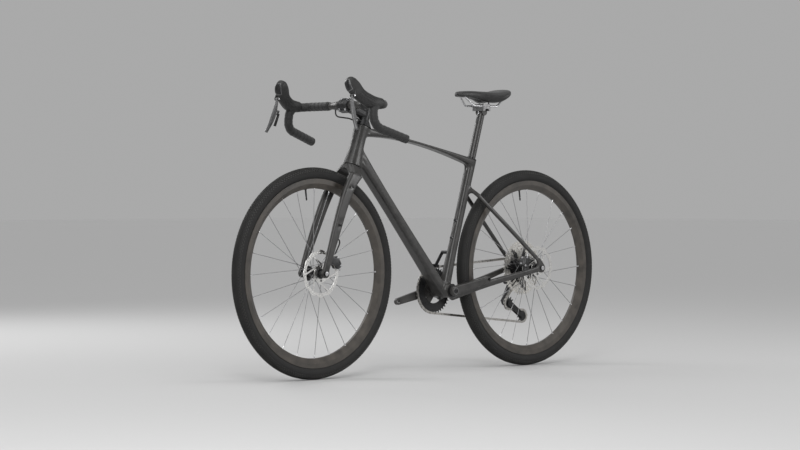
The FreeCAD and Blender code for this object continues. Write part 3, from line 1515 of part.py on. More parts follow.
def make_rotor(name, axle, side):
    """A drilled brake ring on leaning arms round a splined carrier."""
    body = new_body(name)
    ring = new_sketch(body)
    draw_circle(ring, d.rotor_radius)
    draw_circle(ring, d.rotor_radius - d.rotor_ring_depth)
    pad(body, ring, d.rotor_thickness)

    lean = math.radians(float(d.rotor_arm_lean))
    root = float(d.rotor_carrier_radius)
    rim = float(d.rotor_radius) - float(d.rotor_ring_depth) / 2
    reach = math.sqrt(rim ** 2 - (root * math.sin(lean)) ** 2) - root * math.cos(lean)
    arm = new_sketch(body, Placement(Vector(root, 0, 0), FreeCAD.Rotation(UP, math.degrees(lean))))
    draw_link(arm, reach, d.rotor_arm_radius, d.rotor_arm_radius)
    polar_pattern(body, pad(body, arm, d.rotor_thickness), d.rotor_arms)

    carrier = new_sketch(body)
    draw_circle(carrier, d.rotor_carrier_radius)
    draw_circle(carrier, d.hub_collar_radius)
    pad(body, carrier, d.rotor_thickness)

    holes = new_sketch(body, Placement(vec(0, 0, d.rotor_thickness), FreeCAD.Rotation()))
    turn = math.pi / float(d.rotor_slots)
    for share, angle in ((d.rotor_outer_row, 0.0), (d.rotor_inner_row, turn)):
        distance = float(d.rotor_radius - d.rotor_ring_depth * share)
        centre = Vector(distance * math.cos(angle), distance * math.sin(angle), 0)
        index = holes.addGeometry(Part.Circle(centre, UP, float(d.rotor_hole_radius)))
        constrain(holes, "DistanceX", -1, 1, index, 3, centre.x)
        constrain(holes, "DistanceY", -1, 1, index, 3, centre.y)
        constrain(holes, "Radius", index, d.rotor_hole_radius)
    pocket = body.newObject("PartDesign::Pocket", "holes")
    pocket.Profile = holes
    pocket.Type = "ThroughAll"
    polar_pattern(body, pocket, d.rotor_slots)
    body.Placement = place(axle + along(LEFT, side - d.rotor_thickness / 2), LEFT, AHEAD)
    return body


def make_wheels():
    front_end = d.fork_dropout_inner - d.moving_gap
    rear_end = d.dropout_inner - d.moving_gap
    wheels = (("front", front_axle, d.front_flange_radius, (d.front_flange_right, d.front_flange_left),
               d.front_shell_radius, (front_end, front_end), d.front_rotor_side),
              ("rear", rear_axle, d.rear_flange_radius, (d.rear_flange_right, d.rear_flange_left),
               d.rear_shell_radius, (d.freehub_inner - d.moving_gap, rear_end), d.rear_rotor_side))
    for end, axle, flange_radius, flanges, shell, ends, rotor_side in wheels:
        rim = node(f"{end}_rim", make_rim(f"{end}_rim", axle))
        node(f"{end}_tyre", make_tyre(f"{end}_tyre", axle, rim))
        node(f"{end}_spokes", make_spokes(f"{end}_spokes", axle, flange_radius, flanges[1], flanges[0]))
        node(f"{end}_hub", make_hub(f"{end}_hub", axle, flange_radius, flanges, shell, ends, rotor_side))
        node(f"{end}_rotor", make_rotor(f"{end}_rotor", axle, rotor_side))


# Brakes

def front_caliper_frame():
    """The front caliper's middle, its length and the way out from the axle."""
    lean = math.radians(float(d.front_caliper_angle))
    radial = steer_up * math.cos(lean) - steer_ahead * math.sin(lean)
    tangent = steer_up * math.sin(lean) + steer_ahead * math.cos(lean)
    middle = front_axle + along(radial, d.caliper_reach) + along(LEFT, d.front_rotor_side)
    return middle, tangent, radial


def rear_caliper_frame():
    radial = turned(d.rear_caliper_angle)
    tangent = turned(d.rear_caliper_angle + 90)
    middle = rear_axle + along(radial, d.caliper_reach) + along(LEFT, d.rear_rotor_side)
    return middle, tangent, radial


def make_caliper(name, frame, foot, neighbour):
    """A caliper over the rotor's edge, open towards the axle, with a foot on the frame or fork."""
    middle, tangent, radial = frame
    shell = block(name + "_shell", middle - along(LEFT, d.caliper_inboard), LEFT, tangent, d.caliper_length,
                  d.caliper_height, d.caliper_inboard + d.caliper_outboard, d.caliper_corner)
    slot_half = d.rotor_thickness / 2 + d.pad_travel + d.pad_thickness + d.pad_back_gap
    slot_middle = middle + along(radial, (d.caliper_slot_height - d.caliper_height) / 2 - d.cut_margin)
    slot = block(name + "_slot", slot_middle - along(LEFT, slot_half), LEFT, tangent,
                 d.caliper_length + 2 * d.cut_margin, d.caliper_slot_height + 2 * d.cut_margin,
                 2 * slot_half, d.pad_back_gap)
    solid = fuse(name + "_solid", shell, foot)
    node(name, cut(name, solid, slot, neighbour))
    return solid


def make_pads(end, frame):
    """The two brake pads, each a travel away from the rotor."""
    middle, tangent, radial = frame
    centre = middle + along(radial, d.rotor_radius - d.rotor_ring_depth / 2 - d.caliper_reach)
    face = d.rotor_thickness / 2 + d.pad_travel
    for name, start in ((f"{end}_outer_pad", face), (f"{end}_inner_pad", -face - d.pad_thickness)):
        node(name, block(name, centre + along(LEFT, start), LEFT, tangent, d.pad_length, d.pad_height,
                         d.pad_thickness, d.pad_corner))


def make_brakes(left_leg, left_stay):
    front = front_caliper_frame()
    leg_side = d.fork_dropout_inner
    foot_start = front[0] + along(LEFT, leg_side - d.front_rotor_side)
    front_foot = block("front_foot", foot_start, steer_ahead, steer_up, d.caliper_foot_length,
                       d.caliper_foot_width, d.caliper_foot_reach, d.pad_corner)
    caliper = make_caliper("front_caliper", front, front_foot, left_leg)
    make_pads("front", front)

    rear = rear_caliper_frame()
    stay_side = d.dropout_inner - d.caliper_foot_width / 2
    foot_start = rear[0] + along(LEFT, stay_side - d.rear_rotor_side)
    rear_foot = block("rear_foot", foot_start, -UP, AHEAD, d.caliper_foot_length, d.caliper_foot_width,
                      d.caliper_foot_reach, d.pad_corner)
    make_caliper("rear_caliper", rear, rear_foot, left_stay)
    make_pads("rear", rear)
    return caliper


# Crankset

left_crank_way = turned(180 - d.crank_angle)
right_crank_way = turned(-d.crank_angle)


def pitch_radius(teeth):
    return float(d.chain_pitch) / (2 * math.sin(math.pi / teeth))


def crank_arm(name, way, side, inner, thickness):
    """An arm from the bottom bracket's axis to the pedal, rounded along its outer edge."""
    start = bottom_bracket + along(side, inner)
    body = link_plate(name, start, start + along(way, d.crank_length), side, d.crank_boss_radius,
                      d.crank_end_radius, thickness, d.crank_length)
    doc.recompute()
    base = body.Tip
    outer = [f"Edge{index + 1}" for index, edge in enumerate(base.Shape.Edges)
             if all(abs(vertex.Point.z - float(thickness)) < 0.001 for vertex in edge.Vertexes)]
    feature = body.newObject("PartDesign::Fillet", "edge")
    feature.Base = (base, outer)
    drive(feature, Radius=d.crank_edge_radius)
    return body


def make_cranks():
    pedal_room = d.left_crank_thickness + d.right_crank_thickness
    left = crank_arm("left_arm", left_crank_way, LEFT, d.left_crank_inner, d.left_crank_thickness)
    left_pedal = bottom_bracket + along(left_crank_way, d.crank_length)
    left_thread = cross_cylinder("left_thread", left_pedal, d.left_crank_inner - d.cut_margin,
                                 d.left_crank_inner + pedal_room, d.pedal_thread_radius)
    left_bore = cross_cylinder("left_bore", bottom_bracket, d.left_crank_inner - d.cut_margin,
                               d.left_crank_inner + pedal_room, d.spindle_radius + d.running_fit)
    node("left_crank", cut("left_crank", left, left_thread, left_bore))

    right = crank_arm("right_arm", right_crank_way, -LEFT, d.right_crank_inner, d.right_crank_thickness)
    right_pedal = bottom_bracket + along(right_crank_way, d.crank_length)
    right_thread = cross_cylinder("right_thread", right_pedal, -d.right_crank_inner - pedal_room,
                                  -d.right_crank_inner + d.cut_margin, d.pedal_thread_radius)
    right_bore = cross_cylinder("right_bore", bottom_bracket, -d.right_crank_inner - pedal_room,
                                -d.chainring_side + d.cut_margin, d.spindle_radius + d.running_fit)
    node("crank_spindle", cross_cylinder("crank_spindle", bottom_bracket,
                                         -d.right_crank_inner - d.right_crank_thickness,
                                         d.left_crank_inner + d.left_crank_thickness, d.spindle_radius))
    ring_face = d.chainring_side + d.sprocket_thickness / 2
    arms = []
    count = int(float(d.spider_arms))
    for index in range(count):
        way = turned(-d.crank_angle + (index + 0.5) * 360.0 / count)
        start = bottom_bracket - along(LEFT, ring_face)
        arms.append(link_plate(f"spider_arm_{index}", start, start + along(way, d.spider_reach), -LEFT,
                               d.spider_root_radius, d.spider_end_radius,
                               d.right_crank_inner + d.cut_margin - ring_face, d.spider_reach))
    node("right_crank", cut("right_crank", fuse("right_crank_solid", right, *arms), right_thread, right_bore))


# Chain drive

def toothed_plate(name, centre, side, teeth, phase, thickness, bore):
    """A sprocket whose gap between two teeth is centred at a phase angle, counted upwards from forward."""
    root = pitch_radius(teeth) - float(d.tooth_root_depth)
    tip = pitch_radius(teeth) + float(d.tooth_height)
    root_half = math.asin(float(d.tooth_root_gap) / root)
    tip_half = min(math.asin(float(d.tooth_tip_gap) / tip), float(d.tooth_gap_share) * math.pi / teeth)
    points = []
    for index in range(teeth):
        gap = phase + 2 * math.pi * index / teeth
        for radius, turn in ((tip, -tip_half), (root, -root_half), (root, root_half), (tip, tip_half)):
            points.append(Vector(radius * math.cos(gap + turn), radius * math.sin(gap + turn), 0))
    outline = Part.makePolygon(points + points[:1])
    rise = Vector(0, 0, float(thickness))
    hole = Part.makeCylinder(float(bore), float(thickness))
    obj = doc.addObject("Part::Feature", name)
    obj.Shape = Part.Face(outline).extrude(rise).cut(hole)
    obj.Placement = place(centre + along(LEFT, float(side) + float(thickness) / 2), -LEFT, AHEAD)
    return obj


def flat(point):
    return Vector(point.x, 0, point.z)


def tangent_run(first, second):
    """The straight run between two wheels, each a (centre, radius, turn) with turn 1 for anticlockwise."""
    (c1, r1, turn1), (c2, r2, turn2) = first, second
    gap = flat(c2) - flat(c1)
    length = gap.Length
    way = gap * (1 / length)
    left_normal = Vector(-way.z, 0, way.x)
    share = (turn2 * r2 - turn1 * r1) / length
    normal = way * share + left_normal * math.sqrt(1 - share ** 2)
    return flat(c1) - normal * (turn1 * r1), flat(c2) - normal * (turn2 * r2)


guide_centre = rear_axle + vec(d.guide_pulley_ahead, 0, -d.guide_pulley_drop)
cog_side = -(d.first_cog_side + CHAIN_COG * d.cog_step)


def chain_wheels(cage_angle):
    """The four wheels in the order that the chain meets them going back from the top of the chainring."""
    tension = guide_centre + along(turned(cage_angle), d.cage_length)
    pulley = int(float(d.pulley_teeth))
    ring = int(float(d.chainring_teeth))
    cog = COG_TEETH[CHAIN_COG]
    return ((bottom_bracket, pitch_radius(ring), 1, ring, -d.chainring_side),
            (rear_axle, pitch_radius(cog), 1, cog, cog_side),
            (guide_centre, pitch_radius(pulley), -1, pulley, cog_side),
            (tension, pitch_radius(pulley), 1, pulley, cog_side))


def chain_spans(cage_angle):
    """The chain's runs and wraps in order, each with its length counted in links."""
    wheels = chain_wheels(cage_angle)
    count = len(wheels)
    runs = [tangent_run(wheels[index][:3], wheels[(index + 1) % count][:3]) for index in range(count)]
    spans = []
    for index in range(count):
        start, end = runs[index]
        next_wheel = wheels[(index + 1) % count]
        length = (end - start).Length / float(d.chain_pitch)
        spans.append(("run", length, start, end, wheels[index], next_wheel))
        leave = runs[(index + 1) % count][0]
        centre, radius, turn, teeth, side = next_wheel
        first = end - flat(centre)
        last = leave - flat(centre)
        start_angle = math.atan2(first.z, first.x)
        sweep = (math.atan2(last.z, last.x) - start_angle) * turn % (2 * math.pi)
        spans.append(("wrap", sweep * teeth / (2 * math.pi), start_angle, turn, next_wheel))
    return spans


def chain_links(cage_angle):
    return sum(span[1] for span in chain_spans(cage_angle))


def settle_cage():
    """The cage angle near the nominal one at which the chain has a whole, even number of links."""
    nominal = float(d.cage_angle)
    target = 2 * round(chain_links(nominal) / 2)
    low = nominal - float(d.cage_search)
    high = nominal + float(d.cage_search)
    rising = chain_links(high) > chain_links(low)
    for _ in range(60):
        middle = (low + high) / 2
        if (chain_links(middle) < target) == rising:
            low = middle
        else:
            high = middle
    return (low + high) / 2, target


def point_on(span, links):
    """The point on a run or a wrap at a count of links from its start."""
    kind, length, *shape = span
    if kind == "run":
        start, end, before, after = shape
        share = links / length
        side = float(before[4]) + (float(after[4]) - float(before[4])) * share
        point = start + (end - start) * share
        return vec(point.x, side, point.z)
    start_angle, turn, wheel = shape
    centre, radius, _, teeth, side = wheel
    angle = start_angle + turn * links * 2 * math.pi / teeth
    return vec(centre.x + radius * math.cos(angle), side, centre.z + radius * math.sin(angle))


def chain_point(spans, links):
    """The point on the chain's pitch line at a count of links from its start."""
    for span in spans:
        if links <= span[1]:
            break
        links -= span[1]
    return point_on(span, links)


def gap_phase(spans, wheel_index):
    """The angle of a chain roller on a wheel, where a tooth gap has to be."""
    wrap = 2 * ((wheel_index - 1) % (len(spans) // 2)) + 1
    passed = sum(span[1] for span in spans[:wrap])
    start_angle, turn, wheel = spans[wrap][2:]
    return start_angle + turn * (math.ceil(passed) - passed) * 2 * math.pi / wheel[3]


def make_chain(spans, target):
    """Inner and outer links in turn along the pitch line."""
    pitch = float(d.chain_pitch)

    def plate(side):
        body = Part.makeBox(pitch, 2 * float(d.link_plate_radius), float(d.link_plate_thickness),
                            Vector(0, -float(d.link_plate_radius), float(side)))
        ends = [Part.makeCylinder(float(d.link_plate_radius), float(d.link_plate_thickness),
                                  Vector(x, 0, float(side))) for x in (0, pitch)]
        return body.multiFuse(ends).removeSplitter()

    def link(side, pin_radius, pin_half, bore):
        """Two plates and what joins them: rollers in an inner link, pins in an outer one."""
        pieces = [plate(side), plate(-float(side) - float(d.link_plate_thickness))]
        pins = [Part.makeCylinder(float(pin_radius), 2 * float(pin_half), Vector(x, 0, -float(pin_half)))
                for x in (0, pitch)]
        solid = pieces[0].multiFuse([pieces[1]] + pins)
        if bore is None:
            return solid
        holes = [Part.makeCylinder(float(bore), 4 * float(pin_half), Vector(x, 0, -2 * float(pin_half)))
                 for x in (0, pitch)]
        return solid.cut(Part.makeCompound(holes))

    inner = link(d.inner_plate_side, d.roller_radius, d.inner_plate_side, d.link_pin_radius + d.link_pin_fit)
    outer = link(d.outer_plate_side, d.link_pin_radius, d.outer_plate_side + d.link_plate_thickness, None)
    points = [chain_point(spans, index) for index in range(target)]
    links = []
    for index, point in enumerate(points):
        heading = points[(index + 1) % target] - point
        flat_side = heading.cross(LEFT)
        copy = (inner if index % 2 == 0 else outer).copy()
        copy.Placement = place(point, flat_side.cross(heading), heading)
        links.append(copy)
    obj = doc.addObject("Part::Feature", "chain")
    obj.Shape = Part.makeCompound(links)
    node("chain", obj)


def make_drive():
    cage_angle, target = settle_cage()
    spans = chain_spans(cage_angle)
    wheels = chain_wheels(cage_angle)
    phases = [gap_phase(spans, index) for index in range(len(wheels))]
    ring = int(float(d.chainring_teeth))
    pulley = int(float(d.pulley_teeth))
    node("chainring", toothed_plate("chainring", bottom_bracket, -d.chainring_side, ring, phases[0],
                                    d.sprocket_thickness, d.chainring_bore))
    cogs = []
    for index, teeth in enumerate(COG_TEETH):
        side = -(d.first_cog_side + index * d.cog_step)
        cogs.append(toothed_plate(f"cog_{teeth}", rear_axle, side, teeth, phases[1],
                                  d.sprocket_thickness, d.freehub_radius))
    last_cog = d.first_cog_side + (len(COG_TEETH) - 1) * d.cog_step + d.cog_step / 2
    bore = d.axle_radius + d.running_fit
    freehub_end = d.dropout_inner - d.moving_gap
    step = freehub_end - last_cog
    length = freehub_end - d.freehub_inner
    corners = ((bore, 0), (d.hub_end_radius, 0), (d.hub_end_radius, step), (d.freehub_radius, step),
               (d.freehub_radius, length), (bore, length))
    freehub = turned_body("freehub", rear_axle - along(LEFT, freehub_end), LEFT, corners)
    node("cassette", group("cassette", freehub, *cogs))
    for name, index in (("guide_pulley", 2), ("tension_pulley", 3)):
        node(name, toothed_plate(name, wheels[index][0], cog_side, pulley, phases[index], d.pulley_thickness,
                                 d.pulley_axle_radius + d.running_fit))
    make_chain(spans, target)
    return wheels[3][0]


def make_chain_guide(seat_solid):
    """A keeper over the top of the chainring on an arm from the seat tube."""
    radial = turned(d.guide_angle)
    tangent = turned(d.guide_angle - 90)
    ring = pitch_radius(int(float(d.chainring_teeth))) + float(d.link_plate_radius)
    roof = ring + float(d.guide_clearance)
    height = d.guide_skirt + d.guide_wall
    width = d.guide_slot + 2 * d.guide_wall
    middle = bottom_bracket - along(LEFT, d.chainring_side)
    base = middle + along(radial, roof - float(d.guide_skirt))
    shell = block("guide_shell", base, radial, tangent, d.guide_length, width, height, d.guide_wall)
    slot = block("guide_slot_room", base - along(radial, d.cut_margin), radial, tangent,
                 d.guide_length + 2 * d.cut_margin, d.guide_slot, d.guide_skirt + d.cut_margin,
                 d.guide_wall / 4)
    anchor = on_seat_tube(d.guide_arm_height)
    inner = d.chainring_side - width / 2
    post = cross_cylinder("guide_post", anchor, -inner - d.guide_arm_thickness, 0, d.guide_arm_radius)
    start = anchor - along(LEFT, inner)
    end = bottom_bracket + along(radial, roof + float(d.guide_wall) / 2) - along(LEFT, inner)
    arm = link_plate("guide_arm", start, end, -LEFT, d.guide_arm_radius, d.guide_arm_radius,
                     d.guide_arm_thickness)
    solid = fuse("guide_solid", shell, post, arm)
    node("chain_guide", cut("chain_guide", solid, slot, seat_solid))


# Derailleur

lean = math.radians(float(d.link_lean))
slant = math.radians(float(d.link_slant))
link_way = Vector(math.sin(lean), 0, -math.cos(lean))
link_back = Vector(-math.cos(lean), 0, -math.sin(lean))
shift_way = LEFT * math.cos(slant) + link_back * math.sin(slant)
link_axis = link_way.cross(shift_way)
cage_pivot = guide_centre + along(LEFT, cog_side - d.link_outboard) + along(UP, d.link_above_guide)
frame_pivot = cage_pivot - along(link_way, d.link_length)


def hinge_cheeks(name, pivot, way):
    """Two cheeks either side of the link's end, and the pin between them."""
    half = float(d.link_width) / 2 + float(d.moving_gap)
    cheeks = []
    for side in (-1, 1):
        start = pivot + link_axis * (side * half)
        if side < 0:
            start = start - along(link_axis, d.cheek_thickness)
        end = start + along(way, d.cheek_length)
        cheeks.append(link_plate(f"{name}_cheek_{side + 1}", start, end, link_axis, d.link_end_radius,
                                 d.link_end_radius, d.cheek_thickness, d.cheek_length))
    reach = half + float(d.cheek_thickness)
    pin = cylinder(name + "_pin", pivot - link_axis * reach, link_axis, d.link_pin_size, 2 * reach)
    return cheeks + [pin]


def make_derailleur(tension_centre):
    outer = d.dropout_inner + d.dropout_thickness
    bolt = rear_axle - vec(d.hanger_bolt_back, 0, d.hanger_bolt_drop)
    hanger = link_plate("hanger_plate", rear_axle - along(LEFT, outer), bolt - along(LEFT, outer), -LEFT,
                        d.hanger_radius, d.hanger_bolt_radius, d.hanger_thickness)
    hole = cross_cylinder("hanger_hole", rear_axle, -outer - d.hanger_thickness - d.cut_margin,
                          -outer + d.cut_margin, d.axle_radius + d.running_fit)
    node("derailleur_hanger", cut("derailleur_hanger", hanger, hole))

    face = outer + d.hanger_thickness
    knee = frame_pivot - along(link_way, d.cheek_length)
    arm = link_plate("knuckle_arm", flat(bolt) - along(LEFT, face), flat(knee) - along(LEFT, face), -LEFT,
                     d.hanger_bolt_radius + d.cheek_thickness, d.knuckle_radius, d.knuckle_stand)
    inner = -frame_pivot.y - float(d.link_width)
    trunk = cross_cylinder("knuckle_trunk", flat(knee), -face - d.knuckle_stand, -inner, d.knuckle_radius)
    node("derailleur_knuckle", fuse("derailleur_knuckle", arm, trunk,
                                    *hinge_cheeks("frame_hinge", frame_pivot, -link_way)))

    half = d.link_width / 2
    plate = link_plate("link_bar", frame_pivot - along(link_axis, half), cage_pivot - along(link_axis, half),
                       link_axis, d.link_end_radius, d.link_end_radius, d.link_width, d.link_length)
    pin_holes = [cylinder(f"link_hole_{index}", pivot - along(link_axis, d.link_width), link_axis,
                          d.link_pin_size + d.running_fit, 2 * d.link_width)
                 for index, pivot in enumerate((frame_pivot, cage_pivot))]
    node("derailleur_link", cut("derailleur_link", plate, *pin_holes))

    plate_outer = d.cage_plate_side + d.cage_plate_thickness
    near = cog_side - plate_outer - d.moving_gap
    shoulder = cross_cylinder("cage_shoulder", guide_centre, near - d.cage_knuckle_width, near,
                              d.knuckle_radius)
    stem_pin = cross_cylinder("cage_stem", guide_centre, near, near + d.cage_plate_thickness,
                              d.pulley_axle_radius)
    node("derailleur_cage_knuckle", fuse("derailleur_cage_knuckle", shoulder, stem_pin,
                                         *hinge_cheeks("cage_hinge", cage_pivot, link_way)))

    plates = []
    for name, low in (("inner", cog_side + d.cage_plate_side), ("outer", cog_side - plate_outer)):
        plates.append(link_plate(f"cage_{name}_plate", guide_centre + along(LEFT, low),
                                 flat(tension_centre) + along(LEFT, low), LEFT, d.cage_plate_radius,
                                 d.cage_plate_radius, d.cage_plate_thickness, d.cage_length))
    axles = [cross_cylinder(f"pulley_axle_{index}", flat(centre), cog_side - d.cage_plate_side,
                            cog_side + plate_outer, d.pulley_axle_radius)
             for index, centre in enumerate((guide_centre, tension_centre))]
    pivot_hole = cross_cylinder("cage_pivot_hole", guide_centre, cog_side - plate_outer - d.cut_margin,
                                cog_side - d.cage_plate_side, d.pulley_axle_radius + d.running_fit)
    node("derailleur_cage", cut("derailleur_cage", fuse("cage_solid", *plates, *axles), pivot_hole))


# Writing the pieces

def write_parts():
    doc.recompute()
    failed = [obj.Label for obj in doc.Objects if "Invalid" in obj.State or "Error" in obj.State]
    for obj in NODES:
        if obj.Shape.isNull() or not obj.Shape.isValid() or not obj.Shape.Solids:
            failed.append(obj.Label)
    if failed:
        raise RuntimeError("failed pieces: " + ", ".join(failed))
    os.makedirs("parts", exist_ok=True)
    for obj in NODES:
        obj.Shape.exportStep(f"parts/{obj.Label}.step")
    print(len(NODES), "pieces written")


def make_bicycle():
    seat_solid, left_stay = make_frame()
    make_seatpost()
    make_saddle()
    left_leg = make_fork()
    make_axle("front_thru_axle", front_axle, d.fork_dropout_inner + d.fork_dropout_thickness,
              d.fork_dropout_inner + d.fork_dropout_thickness)
    make_axle("rear_thru_axle", rear_axle, d.dropout_inner + d.dropout_thickness + d.hanger_thickness,
              d.dropout_inner + d.dropout_thickness)
    spacer = make_stem()
    bar, sleeve = make_bar()
    make_hoods(sleeve)
    make_levers()
    make_wheels()
    front_caliper = make_brakes(left_leg, left_stay)
    make_front_hoses(bar, spacer, left_leg, front_caliper)
    make_cranks()
    tension_centre = make_drive()
    make_chain_guide(seat_solid)
    make_derailleur(tension_centre)


make_bicycle()
write_parts()
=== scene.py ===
import math

import bmesh
import bpy
from mathutils import Matrix, Vector


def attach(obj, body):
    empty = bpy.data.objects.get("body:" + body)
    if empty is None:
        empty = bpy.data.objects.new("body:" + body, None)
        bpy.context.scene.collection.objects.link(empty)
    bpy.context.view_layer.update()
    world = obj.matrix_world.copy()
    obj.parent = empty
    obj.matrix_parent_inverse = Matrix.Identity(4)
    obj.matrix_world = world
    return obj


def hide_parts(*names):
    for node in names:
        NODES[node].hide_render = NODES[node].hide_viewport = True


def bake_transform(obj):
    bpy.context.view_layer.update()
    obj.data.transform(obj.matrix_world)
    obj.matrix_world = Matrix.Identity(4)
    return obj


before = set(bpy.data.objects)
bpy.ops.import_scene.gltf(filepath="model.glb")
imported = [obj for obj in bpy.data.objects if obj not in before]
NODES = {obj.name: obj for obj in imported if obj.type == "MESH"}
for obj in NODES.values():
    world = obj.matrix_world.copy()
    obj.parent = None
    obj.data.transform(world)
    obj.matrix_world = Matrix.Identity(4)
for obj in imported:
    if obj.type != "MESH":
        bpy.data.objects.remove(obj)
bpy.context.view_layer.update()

MM = 0.001
FORWARD = Vector((1, 0, 0))
LEFT = Vector((0, 1, 0))
UP = Vector((0, 0, 1))
TURN = 2 * math.pi

# Places, directions and sizes shared with the part's source, in millimetres
FRONT_AXLE = Vector((526.5, 0, 355))
REAR_AXLE = Vector((-526.5, 0, 355))
AXLES = {"front": FRONT_AXLE, "rear": REAR_AXLE}
CRANK_AXIS = Vector((-95.5, 0, 282))
CROWN = Vector((350.268, 0, 716.309))
POST_HEAD = Vector((-289.05, 0, 915.074))
BAR_CENTRE = Vector((378.266, 0, 920))
STEER_UP = Vector((-0.325568, 0, 0.945519))
STEER_AHEAD = Vector((0.945519, 0, 0.325568))
SEAT_UP = Vector((-0.292372, 0, 0.956305))
SEAT_AHEAD = Vector((0.956305, 0, 0.292372))
TYRE_RING = 333.0
TYRE_OUTER = 355.0
RIM_INNER = 284.0
SPOKES = 24

# Corners of a square, going round
SQUARE = ((-1, -1), (1, -1), (1, 1), (-1, 1))


def mm(point):
    return Vector(point) * MM


# Materials

DRIFT_LOW = 0.3
DRIFT_HIGH = 0.7
RELIEF_DETAIL = 3.0


def set_inputs(node, values):
    for name, value in values.items():
        node.inputs[name].default_value = value


def material(name, colours, roughness, grain, bump, bump_grain, metallic=0.0, coat=0.0, sheen=0.0,
             detail=6.0, centre=None):
    """A surface whose colour and gloss drift between two values, with a fine grain in its relief."""
    mat = bpy.data.materials.new(name)
    mat.use_nodes = True
    nodes = mat.node_tree.nodes
    links = mat.node_tree.links
    shader = nodes["Principled BSDF"]
    set_inputs(shader, {"Metallic": metallic, "Coat Weight": coat, "Coat Roughness": 0.2,
                        "Sheen Weight": sheen, "Sheen Roughness": 0.5})
    place = nodes.new("ShaderNodeTexCoord").outputs["Object"]
    if centre is not None:
        place = rings_about(nodes, links, place, centre)
    drift = noise(nodes, links, place, grain, detail)
    tint = nodes.new("ShaderNodeValToRGB")
    for stop, position, colour in zip(tint.color_ramp.elements, (DRIFT_LOW, DRIFT_HIGH), colours):
        stop.position = position
        stop.color = (*colour, 1)
    links.new(drift, tint.inputs["Fac"])
    links.new(tint.outputs["Color"], shader.inputs["Base Color"])
    gloss = nodes.new("ShaderNodeMapRange")
    set_inputs(gloss, {"From Min": DRIFT_LOW, "From Max": DRIFT_HIGH, "To Min": roughness[0],
                       "To Max": roughness[1]})
    links.new(drift, gloss.inputs["Value"])
    links.new(gloss.outputs["Result"], shader.inputs["Roughness"])
    relief = nodes.new("ShaderNodeBump")
    set_inputs(relief, {"Strength": bump, "Distance": 0.0006})
    links.new(noise(nodes, links, place, bump_grain, RELIEF_DETAIL), relief.inputs["Height"])
    links.new(relief.outputs["Normal"], shader.inputs["Normal"])
    return mat


def noise(nodes, links, place, scale, detail):
    texture = nodes.new("ShaderNodeTexNoise")
    set_inputs(texture, {"Scale": scale, "Detail": detail})
    links.new(place, texture.inputs["Vector"])
    return texture.outputs["Fac"]


def rings_about(nodes, links, place, centre):
    """Coordinates that only change with the distance from a wheel's axle, for turned metal."""
    shift = nodes.new("ShaderNodeVectorMath")
    shift.operation = "SUBTRACT"
    shift.inputs[1].default_value = mm(centre)
    links.new(place, shift.inputs[0])
    flat = nodes.new("ShaderNodeVectorMath")
    flat.operation = "MULTIPLY"
    flat.inputs[1].default_value = (1, 0, 1)
    links.new(shift.outputs["Vector"], flat.inputs[0])
    reach = nodes.new("ShaderNodeVectorMath")
    reach.operation = "LENGTH"
    links.new(flat.outputs["Vector"], reach.inputs[0])
    spread = nodes.new("ShaderNodeCombineXYZ")
    links.new(reach.outputs["Value"], spread.inputs["X"])
    return spread.outputs["Vector"]


CARBON = material("frame_carbon", ((0.018, 0.0172, 0.0165), (0.038, 0.0362, 0.0345)), (0.32, 0.46),
                  grain=45.0, bump=0.06, bump_grain=900.0, coat=0.15)
RIM = material("rim_carbon", ((0.036, 0.0318, 0.0275), (0.077, 0.0668, 0.0565)), (0.34, 0.5),
               grain=28.0, bump=0.08, bump_grain=700.0, coat=0.08)
TYRE = material("tyre_rubber", ((0.007, 0.007, 0.007), (0.014, 0.0135, 0.013)), (0.7, 0.88),
                grain=60.0, bump=0.25, bump_grain=1500.0)
# The knobs' rubber is painted lighter than the casing's, though it is the same rubber: a painted highlight
# on the knob tops against the shaded gaps between them.
TREAD_PAINTED_HIGHLIGHT = material("tread_rubber_painted_highlight", ((0.020, 0.020, 0.0195), (0.046, 0.045, 0.043)), (0.62, 0.84),
                 grain=35.0, bump=0.3, bump_grain=1200.0)
TAPE = material("bar_tape_cork", ((0.009, 0.009, 0.009), (0.019, 0.019, 0.019)), (0.58, 0.76),
                grain=150.0, bump=0.5, bump_grain=900.0, sheen=0.15)
RUBBER = material("hood_rubber", ((0.012, 0.012, 0.012), (0.023, 0.023, 0.023)), (0.44, 0.6),
                  grain=120.0, bump=0.3, bump_grain=1100.0)
LEATHER = material("saddle_cover", ((0.010, 0.010, 0.010), (0.019, 0.019, 0.019)), (0.4, 0.58),
                   grain=110.0, bump=0.45, bump_grain=650.0, sheen=0.1)
BLACK_ALLOY = material("black_alloy", ((0.020, 0.020, 0.021), (0.036, 0.036, 0.037)), (0.26, 0.4),
                       metallic=0.55, grain=90.0, bump=0.08, bump_grain=1400.0)
BRIGHT_ALLOY = material("bright_alloy", ((0.50, 0.50, 0.51), (0.66, 0.66, 0.67)), (0.24, 0.36),
                        metallic=1.0, grain=120.0, bump=0.05, bump_grain=1600.0)
PLASTIC = material("moulded_plastic", ((0.012, 0.012, 0.012), (0.022, 0.022, 0.022)), (0.36, 0.5),
                   grain=140.0, bump=0.2, bump_grain=1300.0)
SPOKE_STEEL = material("spoke_steel", ((0.20, 0.20, 0.205), (0.34, 0.34, 0.345)), (0.28, 0.4),
                       metallic=0.9, grain=200.0, bump=0.05, bump_grain=1500.0)
DARK_ALLOY = material("dark_alloy", ((0.045, 0.045, 0.046), (0.085, 0.085, 0.086)), (0.28, 0.42),
                      metallic=0.8, grain=130.0, bump=0.08, bump_grain=1500.0)
GREY_ALLOY = material("grey_alloy", ((0.15, 0.15, 0.152), (0.27, 0.27, 0.272)), (0.28, 0.42),
                      metallic=0.9, grain=130.0, bump=0.08, bump_grain=1500.0)
LEVER_ALLOY = material("lever_alloy", ((0.11, 0.11, 0.112), (0.17, 0.17, 0.172)), (0.36, 0.48),
                       metallic=0.5, grain=60.0, bump=0.03, bump_grain=1500.0, coat=0.1)
